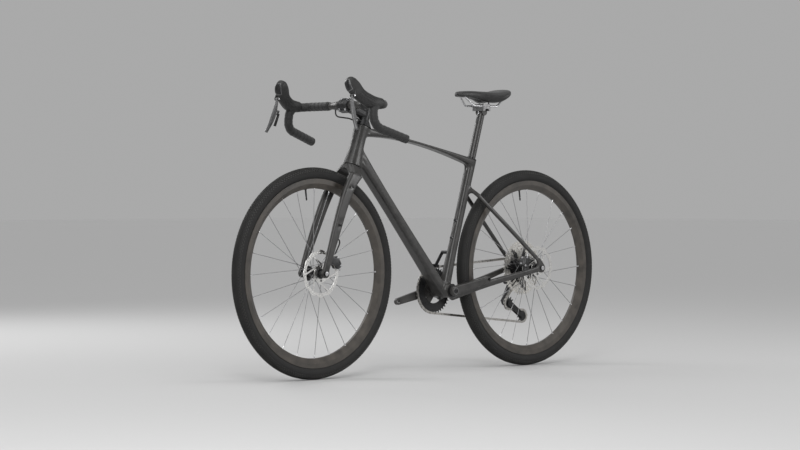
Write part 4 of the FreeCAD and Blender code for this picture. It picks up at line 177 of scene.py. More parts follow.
CHAIN_STEEL = material("chain_steel", ((0.32, 0.31, 0.295), (0.52, 0.505, 0.48)), (0.24, 0.38),
                       metallic=0.95, grain=160.0, bump=0.08, bump_grain=1500.0)
BRAKE_PAD = material("brake_pad", ((0.10, 0.085, 0.07), (0.19, 0.16, 0.13)), (0.7, 0.85),
                     metallic=0.3, grain=500.0, bump=0.4, bump_grain=1800.0)
DISCS = {end: material(f"{end}_rotor_steel", ((0.62, 0.615, 0.60), (0.84, 0.83, 0.81)), (0.22, 0.36),
                       metallic=1.0, grain=900.0, bump=0.06, bump_grain=2500.0, detail=2.0, centre=axle)
         for end, axle in AXLES.items()}
COGS = material("cassette_steel", ((0.60, 0.58, 0.54), (0.82, 0.80, 0.76)), (0.22, 0.36),
                metallic=1.0, grain=700.0, bump=0.06, bump_grain=2000.0, detail=2.0, centre=REAR_AXLE)

# The nodes that no piece below replaces
CAD_MATERIALS = {
    CARBON: ("seatpost", "handlebar", "left_crank", "right_crank"),
    RIM: ("front_rim", "rear_rim"),
    BLACK_ALLOY: ("seat_clamp", "frame_bearings", "stem", "stem_faceplate", "headset_spacers", "front_hub",
                  "rear_hub", "derailleur_hanger", "derailleur_knuckle", "derailleur_link",
                  "derailleur_cage_knuckle", "derailleur_cage", "chainring", "chain_guide",
                  "front_thru_axle", "rear_thru_axle"),
    GREY_ALLOY: ("saddle_clamp", "crank_spindle"),
    LEVER_ALLOY: ("left_brake_lever", "right_brake_lever"),
    BRIGHT_ALLOY: ("saddle_rails", "bottle_bosses"),
    PLASTIC: ("bar_end_plugs", "brake_hoses", "shift_paddle", "guide_pulley", "tension_pulley"),
    SPOKE_STEEL: ("front_spokes", "rear_spokes"),
    BRAKE_PAD: ("front_outer_pad", "front_inner_pad", "rear_outer_pad", "rear_inner_pad"),
}
for finish, names in CAD_MATERIALS.items():
    for name in names:
        NODES[name].data.materials.clear()
        NODES[name].data.materials.append(finish)


# Mesh helpers

def added(name, data):
    obj = bpy.data.objects.new(name, data)
    bpy.context.scene.collection.objects.link(obj)
    return obj


def opened(*meshes):
    work = bmesh.new()
    for mesh in meshes:
        work.from_mesh(mesh)
    return work


def welded(*meshes):
    work = opened(*meshes)
    bmesh.ops.remove_doubles(work, verts=work.verts, dist=1e-6)
    return work


def evaluated(obj):
    """The mesh an object ends up as. The object is removed."""
    bpy.context.view_layer.update()
    mesh = bpy.data.meshes.new_from_object(obj.evaluated_get(bpy.context.evaluated_depsgraph_get()))
    bpy.data.objects.remove(obj)
    return mesh


def piece(name, points, faces, finish, body, smooth_angle=40):
    """A mesh from points in millimetres, riding on a body, or on none where it is blended later."""
    mesh = bpy.data.meshes.new(name)
    mesh.from_pydata([mm(p) for p in points], [], faces)
    return dressed(name, mesh, finish, body, smooth_angle)


def dressed(name, mesh, finish, body, smooth_angle):
    """An object with its normals outwards, its finish, and smooth shading up to an angle in degrees."""
    work = opened(mesh)
    bmesh.ops.recalc_face_normals(work, faces=work.faces)
    work.to_mesh(mesh)
    work.free()
    mesh.materials.clear()
    mesh.materials.append(finish)
    mesh.shade_smooth()
    obj = added(name, mesh)
    mesh.set_sharp_from_angle(angle=math.radians(smooth_angle))
    if body is not None:
        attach(obj, body)
    return obj


def skin(rings, closed=False):
    """Faces over a list of rings of points, with flat ends unless the rings close on each other."""
    count = len(rings[0])
    points = [p for ring in rings for p in ring]
    faces = []
    spans = len(rings) if closed else len(rings) - 1
    for i in range(spans):
        here = i * count
        there = (i + 1) % len(rings) * count
        for j in range(count):
            k = (j + 1) % count
            faces.append((here + j, here + k, there + k, there + j))
    if not closed:
        faces.append(tuple(reversed(range(count))))
        faces.append(tuple(range(len(points) - count, len(points))))
    return points, faces


def joined(parts):
    """Several (points, faces) meshes as one."""
    points = []
    faces = []
    for more_points, more_faces in parts:
        base = len(points)
        points.extend(more_points)
        faces.extend(tuple(base + i for i in face) for face in more_faces)
    return points, faces


STEEP = 0.9


def across(axis):
    """Two directions at right angles to an axis."""
    axis = axis.normalized()
    guide = UP if abs(axis.z) < STEEP else FORWARD
    first = axis.cross(guide).normalized()
    return first, axis.cross(first).normalized()


def around(first, second, angle):
    return first * math.cos(angle) + second * math.sin(angle)


def signed_power(value, power):
    """Squares off a circle's cosine or sine, keeping its sign."""
    return math.copysign(abs(value) ** power, value)


def lathe(origin, axis, profile, sides=32):
    """A turned solid: profile is (distance along the axis, radius), from one end to the other."""
    axis = Vector(axis).normalized()
    first, second = across(axis)
    rings = []
    for reach, radius in profile:
        centre = Vector(origin) + axis * reach
        rings.append([centre + around(first, second, TURN * i / sides) * radius for i in range(sides)])
    return skin(rings)


BOLT_SIDES = 24
HEX_HALF = TURN / 12
# Outlines of a bolt's head and socket: (share of the height, share of the radius)
HEAD_OUTLINE = ((0, 1), (0.7, 1), (0.92, 0.93), (1, 0.84))
SOCKET_OUTLINE = ((1, 1), (0.35, 1), (0.3, 0.2))


def bolt(origin, axis, radius, height, socket):
    """A round bolt head with a six-sided socket sunk in it."""
    axis = Vector(axis).normalized()
    first, second = across(axis)
    steps = [(rise, radius * share, False) for rise, share in HEAD_OUTLINE]
    steps.extend((rise, socket * share, True) for rise, share in SOCKET_OUTLINE)
    rings = []
    for rise, size, six_sided in steps:
        ring = []
        for i in range(BOLT_SIDES):
            angle = TURN * i / BOLT_SIDES
            reach = size
            if six_sided:
                corner = (angle + HEX_HALF) % (2 * HEX_HALF) - HEX_HALF
                reach = size * math.cos(HEX_HALF) / math.cos(corner)
            ring.append(Vector(origin) + axis * (height * rise) + around(first, second, angle) * reach)
        rings.append(ring)
    return skin(rings)


SLAB_SIDES = 36


def slab(origin, along, rise, half_length, half_height, depth, bevel, square):
    """A rounded block standing on the middle of its back face, its front towards along x rise."""
    out = along.cross(rise)
    rings = []
    for reach, inset in ((0, bevel), (bevel, 0), (depth - bevel, 0), (depth, bevel)):
        ring = []
        for i in range(SLAB_SIDES):
            angle = TURN * i / SLAB_SIDES
            ring.append(origin + out * reach
                        + along * (half_length - inset) * signed_power(math.cos(angle), square)
                        + rise * (half_height - inset) * signed_power(math.sin(angle), square))
        rings.append(ring)
    return skin(rings)


def polar(radius, angle):
    return radius * math.cos(angle), radius * math.sin(angle)


def arc(radius, start, stop, count):
    return [polar(radius, start + (stop - start) * i / count) for i in range(count + 1)]


def circle(radius, count=48, middle=(0, 0)):
    return [(middle[0] + x, middle[1] + z) for x, z in arc(radius, 0, TURN, count)[:-1]]


PLATE_BEVEL = 0.22


def flat_plate(loops, centre, thickness):
    """A plate across a wheel's axle from (forward, up) outlines about its centre, holes included."""
    curve = bpy.data.curves.new("plate", "CURVE")
    curve.dimensions = "2D"
    curve.fill_mode = "BOTH"
    curve.extrude = (thickness / 2 - PLATE_BEVEL) * MM
    curve.bevel_depth = PLATE_BEVEL * MM
    curve.bevel_resolution = 0
    curve.offset = -PLATE_BEVEL * MM
    for loop in loops:
        spline = curve.splines.new("POLY")
        spline.points.add(len(loop) - 1)
        for point, (ahead, rise) in zip(spline.points, loop):
            point.co = (ahead * MM, rise * MM, 0, 1)
        spline.use_cyclic_u = True
    mesh = evaluated(added("plate", curve))
    work = welded(mesh)
    points = [Vector(centre) + Vector((v.co.x, -v.co.z, v.co.y)) / MM for v in work.verts]
    work.verts.index_update()
    faces = [tuple(v.index for v in face.verts) for face in work.faces]
    work.free()
    bpy.data.meshes.remove(mesh)
    return points, faces


def islands_of(work):
    """The separate shells of a mesh, each as a list of its points, in the mesh's own order."""
    seen = set()
    islands = []
    for first in work.verts:
        if first in seen:
            continue
        seen.add(first)
        island = []
        wave = [first]
        while wave:
            vert = wave.pop()
            island.append(vert)
            for edge in vert.link_edges:
                other = edge.other_vert(vert)
                if other not in seen:
                    seen.add(other)
                    wave.append(other)
        islands.append(island)
    return islands


def mirrored(mesh):
    points, faces = mesh
    return [Vector((p.x, -p.y, p.z)) for p in points], [tuple(reversed(f)) for f in faces]


def both_sides(*parts):
    return joined([*parts, *(mirrored(part) for part in parts)])


def smooth_between(values, share):
    """A smooth value through evenly counted stations: share runs from 0 to the last station."""
    last = len(values) - 1
    i = min(int(share), last - 1)
    t = share - i
    p = [values[max(i - 1, 0)], values[i], values[i + 1], values[min(i + 2, last)]]
    return 0.5 * (2 * p[1] + (p[2] - p[0]) * t + (2 * p[0] - 5 * p[1] + 4 * p[2] - p[3]) * t ** 2
                  + (3 * p[1] - p[0] - 3 * p[2] + p[3]) * t ** 3)


# Wheels

def wheel_point(axle, radius, side, angle):
    """A point at an angle from the top, forwards."""
    return axle + Vector((radius * math.sin(angle), side, radius * math.cos(angle)))


def spoke_point(axle, radius, side, angle):
    """A point at an angle from the front, upwards."""
    x, z = polar(radius, angle)
    return axle + Vector((x, side, z))


BEAD_ANGLE = math.radians(139.5)
BEAD = ((316.6, 12.2), (311.8, 11.9))
CASING_HALF_WIDTH = 21.4
CASING_HEIGHT = 19.6
CASING_WALL = 2.2
CASING_STEPS = 60
INSIDE_STEPS = 24
RIB_ANGLES = (74, 86, 104, 116)
RIB_SPREAD = 1.6
RIB_RISE = 0.45


def casing_section():
    """The tyre's section as (radius, side): right bead, over the tread, left bead, and back inside."""
    section = [(radius, -side) for radius, side in reversed(BEAD)]
    for i in range(CASING_STEPS + 1):
        t = -BEAD_ANGLE + 2 * BEAD_ANGLE * i / CASING_STEPS
        lean = abs(math.degrees(t))
        rise = sum(math.exp(-((lean - rib) / RIB_SPREAD) ** 2) for rib in RIB_ANGLES) * RIB_RISE
        section.append((TYRE_RING + (CASING_HEIGHT + rise) * math.cos(t),
                        (CASING_HALF_WIDTH + rise) * math.sin(t)))
    section.extend(BEAD)
    for i in range(INSIDE_STEPS + 1):
        t = BEAD_ANGLE - 2 * BEAD_ANGLE * i / INSIDE_STEPS
        section.append((TYRE_RING + (CASING_HEIGHT - CASING_WALL) * math.cos(t),
                        (CASING_HALF_WIDTH - CASING_WALL) * math.sin(t)))
    return section


KNOB_ROWS = (0, 12.5, 25, 37.5, 50, 64)
SHOULDER_ROW = 4
KNOB_COUNT = 400
KNOB_HEIGHT = 2.4
KNOB_SINK = -0.8
KNOB_TAPER = 0.82
KNOB_SIDE_RISE = 0.75
# Half the length in millimetres, half the width in degrees round the casing
MIDDLE_KNOB = (1.55, 3.6)
SHOULDER_KNOB = (3.2, 5.0)
KNOB_FACES = ((0, 3, 2, 1), (4, 5, 6, 7), (0, 1, 5, 4), (1, 2, 6, 5), (2, 3, 7, 6), (3, 0, 4, 7))


def tread_knobs(axle):
    """Small blocks in staggered rows, larger towards the shoulders."""
    parts = []
    for row, lean in enumerate(KNOB_ROWS):
        shoulder = row >= SHOULDER_ROW
        count = KNOB_COUNT // 2 if shoulder else KNOB_COUNT
        half_along, half_across = SHOULDER_KNOB if shoulder else MIDDLE_KNOB
        for sign in ((1, -1) if lean else (1,)):
            t = math.radians(lean) * sign
            for i in range(count):
                spin = TURN * (i + 0.5 * (row % 2)) / count
                parts.append(knob(axle, spin, t, half_along, math.radians(half_across)))
    return joined(parts)


def knob(axle, spin, lean, half_along, half_across):
    points = []
    for rise, shrink in ((KNOB_SINK, 1.0), (KNOB_HEIGHT, KNOB_TAPER)):
        for ahead, aside in SQUARE:
            t = lean + half_across * shrink * aside
            radius = TYRE_RING + (CASING_HEIGHT + rise) * math.cos(t)
            side = (CASING_HALF_WIDTH + rise * KNOB_SIDE_RISE) * math.sin(t)
            angle = spin + half_along * shrink * ahead / TYRE_OUTER
            points.append(wheel_point(axle, radius, side, angle))
    return points, KNOB_FACES


TYRE_STEPS = 180


def make_tyre(end, axle):
    section = casing_section()
    rings = [[wheel_point(axle, radius, side, TURN * i / TYRE_STEPS) for radius, side in section]
             for i in range(TYRE_STEPS)]
    casing = piece(f"{end}_casing", *skin(rings, closed=True), TYRE, f"{end}_wheel")
    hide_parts(f"{end}_tyre")
    # The knobs take the lighter rubber: painted highlight on their tops.
    tread = piece(f"{end}_tread", *tread_knobs(axle), TREAD_PAINTED_HIGHLIGHT, f"{end}_wheel", smooth_angle=20)


# How far the valve and the nipples start inside the rim's inner face
RIM_SINK = 1
VALVE_ANGLE = TURN / (2 * SPOKES)
VALVE_PROFILE = ((0, 5.2), (2.6, 5.2), (3.0, 3.0), (26, 3.0), (26.5, 2.2), (29, 2.2), (29.5, 2.9),
                 (37, 2.6), (39, 1.4))


def make_valve(end, axle):
    foot = wheel_point(axle, RIM_INNER + RIM_SINK, 0, VALVE_ANGLE)
    stem = lathe(foot, axle - foot, VALVE_PROFILE, sides=20)
    valve = piece(f"{end}_valve", *stem, BLACK_ALLOY, f"{end}_wheel")


for end, axle in AXLES.items():
    make_tyre(end, axle)
    make_valve(end, axle)


# Rotors and cassette

ROTOR_SIDES = {"front": 34.7, "rear": 55.7}
ROTOR_EDGE = 78.4
ROTOR_WAVE = 1.5
ROTOR_LOBES = 12
ROTOR_THICKNESS = 1.8
EDGE_STEPS = 360
RING_INNER = 66.0
CARRIER_RADIUS = 31.0
ROTOR_BORE = 17.6
ROTOR_ARMS = 6
ARM_SWEEP = math.radians(40)
ARM_HALF = 2.4
VENT_RADIUS = 2.3
VENT_ROWS = (69.8, 74.4, 71.6)
DISC_BOLT = (4.2, 2.4, 1.9)
DISC_BOLT_CIRCLE = 23.0
DISC_BOLT_SIDE = 0.8


def arm_crossing(angle, aside, radius):
    """The angle where one edge of a swept arm crosses a circle round the axle."""
    start = Vector(polar(RING_INNER, angle))
    end = Vector(polar(CARRIER_RADIUS, angle + ARM_SWEEP))
    way = (end - start).normalized()
    edge = start + Vector((-way.y, way.x)) * aside
    nearest = -edge.dot(way)
    reach = math.sqrt(radius ** 2 - (edge + way * nearest).length_squared)
    crossing = edge + way * (nearest - reach)
    return math.atan2(crossing.y, crossing.x)


def window(first, second):
    """The opening between two swept arms."""
    outer = arm_crossing(first, -ARM_HALF, RING_INNER), arm_crossing(second, ARM_HALF, RING_INNER)
    inner = arm_crossing(second, ARM_HALF, CARRIER_RADIUS), arm_crossing(first, -ARM_HALF, CARRIER_RADIUS)
    return (arc(RING_INNER, outer[0], outer[0] + (outer[1] - outer[0]) % TURN, count=14)
            + arc(CARRIER_RADIUS, inner[0], inner[0] - (inner[0] - inner[1]) % TURN, count=8))


def make_rotor(end, axle):
    centre = axle + LEFT * ROTOR_SIDES[end]
    edge = [polar(ROTOR_EDGE + ROTOR_WAVE * math.cos(ROTOR_LOBES * TURN * i / EDGE_STEPS),
                  TURN * i / EDGE_STEPS) for i in range(EDGE_STEPS)]
    loops = [edge, circle(ROTOR_BORE)]
    for k in range(ROTOR_ARMS):
        loops.append(window(TURN * k / ROTOR_ARMS, TURN * (k + 1) / ROTOR_ARMS))
    vents = len(VENT_ROWS) * ROTOR_LOBES
    for k in range(vents):
        angle = TURN * (k + 0.5) / vents
        loops.append(circle(VENT_RADIUS, count=10, middle=polar(VENT_ROWS[k % len(VENT_ROWS)], angle)))
    plate = flat_plate(loops, centre, ROTOR_THICKNESS)
    rotor = piece(f"{end}_disc", *plate, DISCS[end], f"{end}_wheel", smooth_angle=30)
    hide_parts(f"{end}_rotor")
    bolts = []
    for k in range(ROTOR_ARMS):
        angle = TURN * (k + 0.5) / ROTOR_ARMS
        bolts.append(bolt(spoke_point(centre, DISC_BOLT_CIRCLE, DISC_BOLT_SIDE, angle), LEFT, *DISC_BOLT))
    heads = piece(f"{end}_disc_bolts", *joined(bolts), GREY_ALLOY, f"{end}_wheel")


COG_TEETH = (48, 42, 36, 32, 28, 24, 21, 18, 16, 14, 12, 10)
FIRST_COG_SIDE = 20.5
COG_STEP = 3.75
COG_THICKNESS = 1.6
OPEN_COGS = 6
COG_RIM = 5.5
SMALL_COG_BORE = 14.5
COG_ARMS = 7
ARM_LEAN = 0.45
ARM_STAGGER = 0.13
ARM_FOOT = 26.0
ARM_FOOT_HALF = 3.2
ARM_TIP_HALF = 2.2
ARM_LAP = 1.6
ARM_BORE = 18.0
ARM_THINNER = 0.2
DRUM_PROFILE = ((18.2, 20.0), (18.2, 24.0), (40.0, 24.0), (40.4, 15.6), (63.8, 15.6), (64.2, 15.2),
                (66.0, 14.8), (66.0, 9.0))
CHAIN_PITCH = 12.7
TOOTH_ROOT = 4.2
TOOTH_TIP = 3.0
TIP_GAP = 5.6
TIP_GAP_LIMIT = 0.9
COG_NEAR = 1.0
TIP_NEAR = 0.05
TOOTH_SHAPE = ((-0.5, 1.0), (-0.4, 1.0), (-0.35, 0.9), (-0.28, 0.58), (-0.2, 0.2), (-0.1, 0.03), (0, 0),
               (0.1, 0.03), (0.2, 0.2), (0.28, 0.58), (0.35, 0.9), (0.4, 1.0))


def cog_phase(teeth, side, tip):
    """The angle of a gap between two teeth, read from the solid sprocket's tooth tips."""
    sums = [0.0, 0.0]
    for vert in NODES["cassette"].data.vertices:
        point = vert.co / MM - REAR_AXLE
        if abs(point.y - side) < COG_NEAR and abs(math.hypot(point.x, point.z) - tip) < TIP_NEAR:
            angle = teeth * math.atan2(point.z, point.x)
            sums[0] += math.cos(angle)
            sums[1] += math.sin(angle)
    spread = teeth * min(math.asin(TIP_GAP / tip), TIP_GAP_LIMIT * math.pi / teeth)
    flip = 1 if math.cos(spread) > 0 else -1
    return math.atan2(flip * sums[1], flip * sums[0]) / teeth


def cog_arms(reach, turned):
    """The outline of the leaning arms that carry an open sprocket's rim."""
    star = []
    for k in range(COG_ARMS):
        tip = TURN * k / COG_ARMS + turned
        foot = tip - ARM_LEAN
        star.append(polar(ARM_FOOT, foot - ARM_FOOT_HALF / ARM_FOOT))
        star.append(polar(reach, tip - ARM_TIP_HALF / reach))
        star.append(polar(reach, tip + ARM_TIP_HALF / reach))
        star.append(polar(ARM_FOOT, foot + ARM_FOOT_HALF / ARM_FOOT))
    return star


def make_cassette():
    cogs = []
    arms = []
    for i, teeth in enumerate(COG_TEETH):
        side = -(FIRST_COG_SIDE + i * COG_STEP)
        centre = REAR_AXLE + LEFT * side
        pitch = CHAIN_PITCH / (2 * math.sin(math.pi / teeth))
        root = pitch - TOOTH_ROOT
        phase = cog_phase(teeth, side, pitch + TOOTH_TIP)
        edge = [polar(root + (TOOTH_ROOT + TOOTH_TIP) * rise, phase + TURN * (k + turn) / teeth)
                for k in range(teeth) for turn, rise in TOOTH_SHAPE]
        bore = root - COG_RIM if i < OPEN_COGS else SMALL_COG_BORE
        cogs.append(flat_plate([edge, circle(bore, count=96)], centre, COG_THICKNESS))
        if i < OPEN_COGS:
            star = cog_arms(bore + ARM_LAP, ARM_STAGGER * i)
            arms.append(flat_plate([star, circle(ARM_BORE)], centre, COG_THICKNESS - ARM_THINNER))
    cassette = piece("sprockets", *joined(cogs), COGS, "cassette", smooth_angle=30)
    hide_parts("cassette")
    drum = lathe(REAR_AXLE, -LEFT, DRUM_PROFILE, sides=48)
    carrier = piece("cassette_carrier", *joined(arms + [drum]), BLACK_ALLOY, "cassette", smooth_angle=30)


CHAIN_LINE = -46.75
GUIDE_PULLEY = Vector((-484.5, CHAIN_LINE, 225))
PULLEY_WRAP = 31.0
SPAN_REACH = 9.0
COG_LEAVE = Vector((-553.0, CHAIN_LINE, 330.2))
GUIDE_MEET = Vector((-468.2, CHAIN_LINE, 240.5))
RUN_START = Vector((-130.0, CHAIN_LINE, 197.2))
RUN_JOIN = Vector((-396.7, CHAIN_LINE, 170.2))
RUN_END = Vector((-553.4, CHAIN_LINE, 154.4))
# The chain's spans that lean over: first and last point, the share of the blend used up at the last one,
# and the bodies blended. The reach's end keeps up with the knuckle, the drop's end to about 7 mm.
CHAIN_SPANS = {
    "drop": (COG_LEAVE, GUIDE_MEET, 0.70, "frame", "derailleur_link"),
    "reach": (RUN_START, RUN_JOIN, 0.36, "frame", "derailleur_link"),
    "run": (RUN_JOIN, RUN_END, 1.0, "derailleur_cage_knuckle", "derailleur_cage"),
}
CHAIN_WRAPS = {"main": "frame", "guide": "derailleur_cage_knuckle", "cage": "derailleur_cage"}


def chain_zone(middle):
    """Which part of the chain a link is in: what carries it follows from that."""
    for zone, (first, last, *_) in CHAIN_SPANS.items():
        along = last - first
        share = (middle - first).dot(along) / along.length_squared
        if 0 <= share < 1 and (middle - first - along * share).length < SPAN_REACH:
            return zone
    if (middle - GUIDE_PULLEY).length < PULLEY_WRAP:
        return "guide"
    if middle.x < GUIDE_PULLEY.x and middle.z < GUIDE_PULLEY.z:
        return "cage"
    return "main"


def make_chain():
    """The solid's links, split so that those on the pulleys and beside them go with the derailleur."""
    zones = {zone: ([], []) for zone in (*CHAIN_WRAPS, *CHAIN_SPANS)}
    work = welded(NODES["chain"].data)
    for island in islands_of(work):
        middle = sum((vert.co for vert in island), Vector()) / len(island) / MM
        points, faces = zones[chain_zone(middle)]
        place = {vert: len(points) + i for i, vert in enumerate(island)}
        points.extend(vert.co / MM for vert in island)
        own = dict.fromkeys(face for vert in island for face in vert.link_faces)
        faces.extend(tuple(place[vert] for vert in face.verts) for face in own)
    work.free()
    for zone, (points, faces) in zones.items():
        links = piece(f"links_{zone}", points, faces, CHAIN_STEEL, CHAIN_WRAPS.get(zone), smooth_angle=30)
        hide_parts("chain")
        if zone in CHAIN_SPANS:
            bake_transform(links)


for end, axle in AXLES.items():
    make_rotor(end, axle)
make_cassette()
make_chain()


# Frame and fork: one moulded skin over each set of tubes, with rounded joints

SKIN_VOXEL = 0.0022
SKIN_FILLET = 0.006


def moulded_skin(name, sources, body, finish):
    """Tubes run into each other as one laminate: grown, melted together, then shrunk back."""
    work = welded(*(NODES[source].data for source in sources))
    bmesh.ops.recalc_face_normals(work, faces=work.faces)
    work.normal_update()
    for vert in work.verts:
        vert.co += vert.normal * SKIN_FILLET
    mesh = bpy.data.meshes.new(name)
    work.to_mesh(mesh)
    work.free()
    obj = added(name, mesh)
    melt = obj.modifiers.new("melt", "REMESH")
    melt.mode = "VOXEL"
    melt.voxel_size = SKIN_VOXEL
    melted = evaluated(obj)
    work = opened(melted)
    keep_outside(work)
    relax(work, rounds=3)
    work.normal_update()
    for vert in work.verts:
        vert.co -= vert.normal * SKIN_FILLET
    relax(work, rounds=4)
    work.to_mesh(melted)
    work.free()
    shell = dressed(name, melted, finish, body, smooth_angle=180)
    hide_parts(*sources)


def relax(work, rounds):
    for _ in range(rounds):
        bmesh.ops.smooth_vert(work, verts=work.verts, factor=0.5, use_axis_x=True, use_axis_y=True,
                              use_axis_z=True)


def keep_outside(work):
    """Deletes the closed hollows inside the tubes, which nothing can see."""
    inner = [vert for island in sorted(islands_of(work), key=len)[:-1] for vert in island]
    bmesh.ops.delete(work, geom=inner, context="VERTS")


moulded_skin("frame_skin", ("head_tube", "top_tube", "down_tube", "seat_tube", "bottom_bracket_shell",
                            "chainstays", "seatstays"), "frame", CARBON)
moulded_skin("fork_skin", ("fork_crown", "fork_legs"), "steering", CARBON)


# Saddle

NOSE_X = -161.0
RAIL_Z = 936.07
# Distance behind the nose, width, depth, and the top's height over the rails
SADDLE_STATIONS = ((0, 10, 6, 40.8), (3, 22, 13, 44.5), (8, 32, 18.5, 47.3), (16, 40, 23, 50.0),
                   (62, 46, 29, 53.5), (104, 62, 36, 53.0), (146, 100, 47, 52.5), (176, 130, 46, 53.5),
                   (200, 138, 37, 57), (222, 116, 30, 61.5), (231, 88, 22, 61.8), (236, 56, 10, 57.3))
SADDLE_STEPS = 5
SADDLE_SIDES = 48
GROOVE_DEPTH = 3.2
GROOVE_MIDDLE = 120
GROOVE_REACH = 62
GROOVE_HALF = 7.5
# Shares of the depth above and below the widest line, and how square the section is
CROWN_SHARE = 0.52
KEEL_SHARE = 0.48
EDGE_SQUARE = 0.82
CROWN_SQUARE = 0.62
KEEL_SQUARE = 0.9
KEEL_MIDDLE = 0.55
KEEL_EDGE = 0.45


def saddle_ring(back, width, depth, top):
    """One section of the padded cover: a low crown with a shallow middle groove and rolled-under edges."""
    ring = []
    groove = GROOVE_DEPTH * math.exp(-((back - GROOVE_MIDDLE) / GROOVE_REACH) ** 4)
    for i in range(SADDLE_SIDES):
        angle = TURN * i / SADDLE_SIDES
        c, s = math.cos(angle), math.sin(angle)
        y = width / 2 * signed_power(c, EDGE_SQUARE)
        if s >= 0:
            z = -depth * CROWN_SHARE + depth * CROWN_SHARE * abs(s) ** CROWN_SQUARE
            z -= groove * math.exp(-(y / GROOVE_HALF) ** 2) * s
        else:
            hollow = KEEL_MIDDLE + KEEL_EDGE * abs(c)
            z = -depth * CROWN_SHARE - depth * KEEL_SHARE * abs(s) ** KEEL_SQUARE * hollow
        ring.append(Vector((NOSE_X - back, y, RAIL_Z + top + z)))
    return ring


def make_saddle():
    columns = list(zip(*SADDLE_STATIONS))
    rings = []
    last = len(SADDLE_STATIONS) - 1
    steps = last * SADDLE_STEPS
    for i in range(steps + 1):
        rings.append(saddle_ring(*[smooth_between(column, last * i / steps) for column in columns]))
    pad = piece("saddle_pad_cover", *skin(rings), LEATHER, "saddle", smooth_angle=50)
    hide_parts("saddle_pad")


make_saddle()


# Handlebar: tape and hoods

TAPE_START = 84.0
TAPE_PITCH = 19.0
TAPE_RADIUS = 14.0
TAPE_LAP = 1.3
TAPE_LIP = 0.06
TAPE_THINNING = 0.75
BAND_LEAD = 7
BAND_PROFILE = ((0, 12.2), (0.4, 13.4), (8, 14.6), (13, 15.7), (14, 15.4), (14.4, 14.2))
BAR_POINTS = [BAR_CENTRE] + [Vector(p) for p in ((378.266, 204, 920), (450.266, 204, 914),
                                                 (450.266, 214, 844), (324.266, 232, 804))]
BAR_BENDS = (40.0, 30.0, 41.0)


def bar_line(step=1.5):
    """Points down the middle of the left half of the bar, bends included."""
    runs = []
    start = BAR_POINTS[0]
    for corner, after, radius in zip(BAR_POINTS[1:], BAR_POINTS[2:], BAR_BENDS):
        into = (corner - start).normalized()
        out = (after - corner).normalized()
        half = into.angle(out) / 2
        setback = radius * math.tan(half)
        runs.append((start, corner - into * setback, None, 0))
        centre = corner + (out - into).normalized() * (radius / math.cos(half))
        runs.append((corner - into * setback, corner + out * setback, centre, 2 * half))
        start = corner + out * setback
    runs.append((start, BAR_POINTS[-1], None, 0))
    line = []
    for first, second, centre, bend in runs:
        length = (second - first).length if centre is None else bend * (first - centre).length
        count = max(2, round(length / step))
        for i in range(count):
            share = i / count
            if centre is None:
                line.append(first.lerp(second, share))
            else:
                spin = (first - centre).cross(second - centre).normalized()
                line.append(centre + Matrix.Rotation(bend * share, 3, spin) @ (first - centre))
    line.append(BAR_POINTS[-1].copy())
    return line


def swept(line, radius_at, sides=28):
    """A tube round a line, with a frame carried along it and a radius for each (distance, angle)."""
    rings = []
    tangent = (line[1] - line[0]).normalized()
    first = across(tangent)[0]
    travelled = 0.0
    for i, point in enumerate(line):
        ahead = line[min(i + 1, len(line) - 1)] - line[max(i - 1, 0)]
        tangent = ahead.normalized()
        first = (first - tangent * first.dot(tangent)).normalized()
        second = tangent.cross(first)
        if i:
            travelled += (point - line[i - 1]).length
        ring = []
        for j in range(sides):
            angle = TURN * j / sides
            ring.append(point + around(first, second, angle) * radius_at(travelled, angle))
        rings.append(ring)
    return skin(rings)


def tape_radius(travelled, angle):
    """Each turn of tape starts thick, over the last one's edge, and thins out under the next."""
    turn = (travelled / TAPE_PITCH + angle / TURN) % 1.0
    lip = min(turn / TAPE_LIP, 1.0)
    return TAPE_RADIUS + TAPE_LAP * lip * (1 - TAPE_THINNING * turn)


def make_tape():
    line = [p for p in bar_line() if p.y >= TAPE_START]
    tape = piece("bar_wrap", *both_sides(swept(line, tape_radius)), TAPE, "steering", smooth_angle=35)
    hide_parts("bar_tape")
    band = lathe((BAR_CENTRE.x, TAPE_START - BAND_LEAD, BAR_CENTRE.z), LEFT, BAND_PROFILE, sides=36)
    ends = piece("tape_finish_bands", *both_sides(band), PLASTIC, "steering")


# Ahead of the bar, inwards from HOOD_SIDE, above the bar, width and height
HOOD_STATIONS = ((33, 1, 0, 36, 35), (37, 1, 0, 37, 37), (44, 1, 1, 35, 37), (77, 4, 6, 34, 44),
                 (111, 16, 26, 34, 45), (131, 27, 52, 34, 52), (141, 33, 70, 33, 42), (146, 35, 80, 24, 26),
                 (148, 36, 84, 9, 10))
HOOD_SIDE = 204
HOOD_STEPS = 8
HOOD_SIDES = 40
HOOD_SQUARE = 0.8
HEADING_STEP = 0.05
HOOD_CENTRES = [BAR_CENTRE + Vector((a, HOOD_SIDE - i, r)) for a, i, r, _, _ in HOOD_STATIONS]
*_, HOOD_WIDTHS, HOOD_HEIGHTS = zip(*HOOD_STATIONS)
HOOD_LAST = len(HOOD_STATIONS) - 1


def hood_point(share, angle, grow=0.0):
    """A point on the left hood's surface, at a station and an angle from its left side upwards."""
    centre = smooth_between(HOOD_CENTRES, share)
    heading = (smooth_between(HOOD_CENTRES, min(share + HEADING_STEP, HOOD_LAST))
               - smooth_between(HOOD_CENTRES, max(share - HEADING_STEP, 0))).normalized()
    side = (LEFT - heading * LEFT.dot(heading)).normalized()
    rise = heading.cross(side)
    width = smooth_between(HOOD_WIDTHS, share) / 2 + grow
    height = smooth_between(HOOD_HEIGHTS, share) / 2 + grow
    return (centre + side * width * signed_power(math.cos(angle), HOOD_SQUARE)
            + rise * height * signed_power(math.sin(angle), HOOD_SQUARE))


PATCH_STEPS = 24
PATCH_SPREAD = 16
PATCH_EDGE = 0.2
PATCH_SINK = -0.8


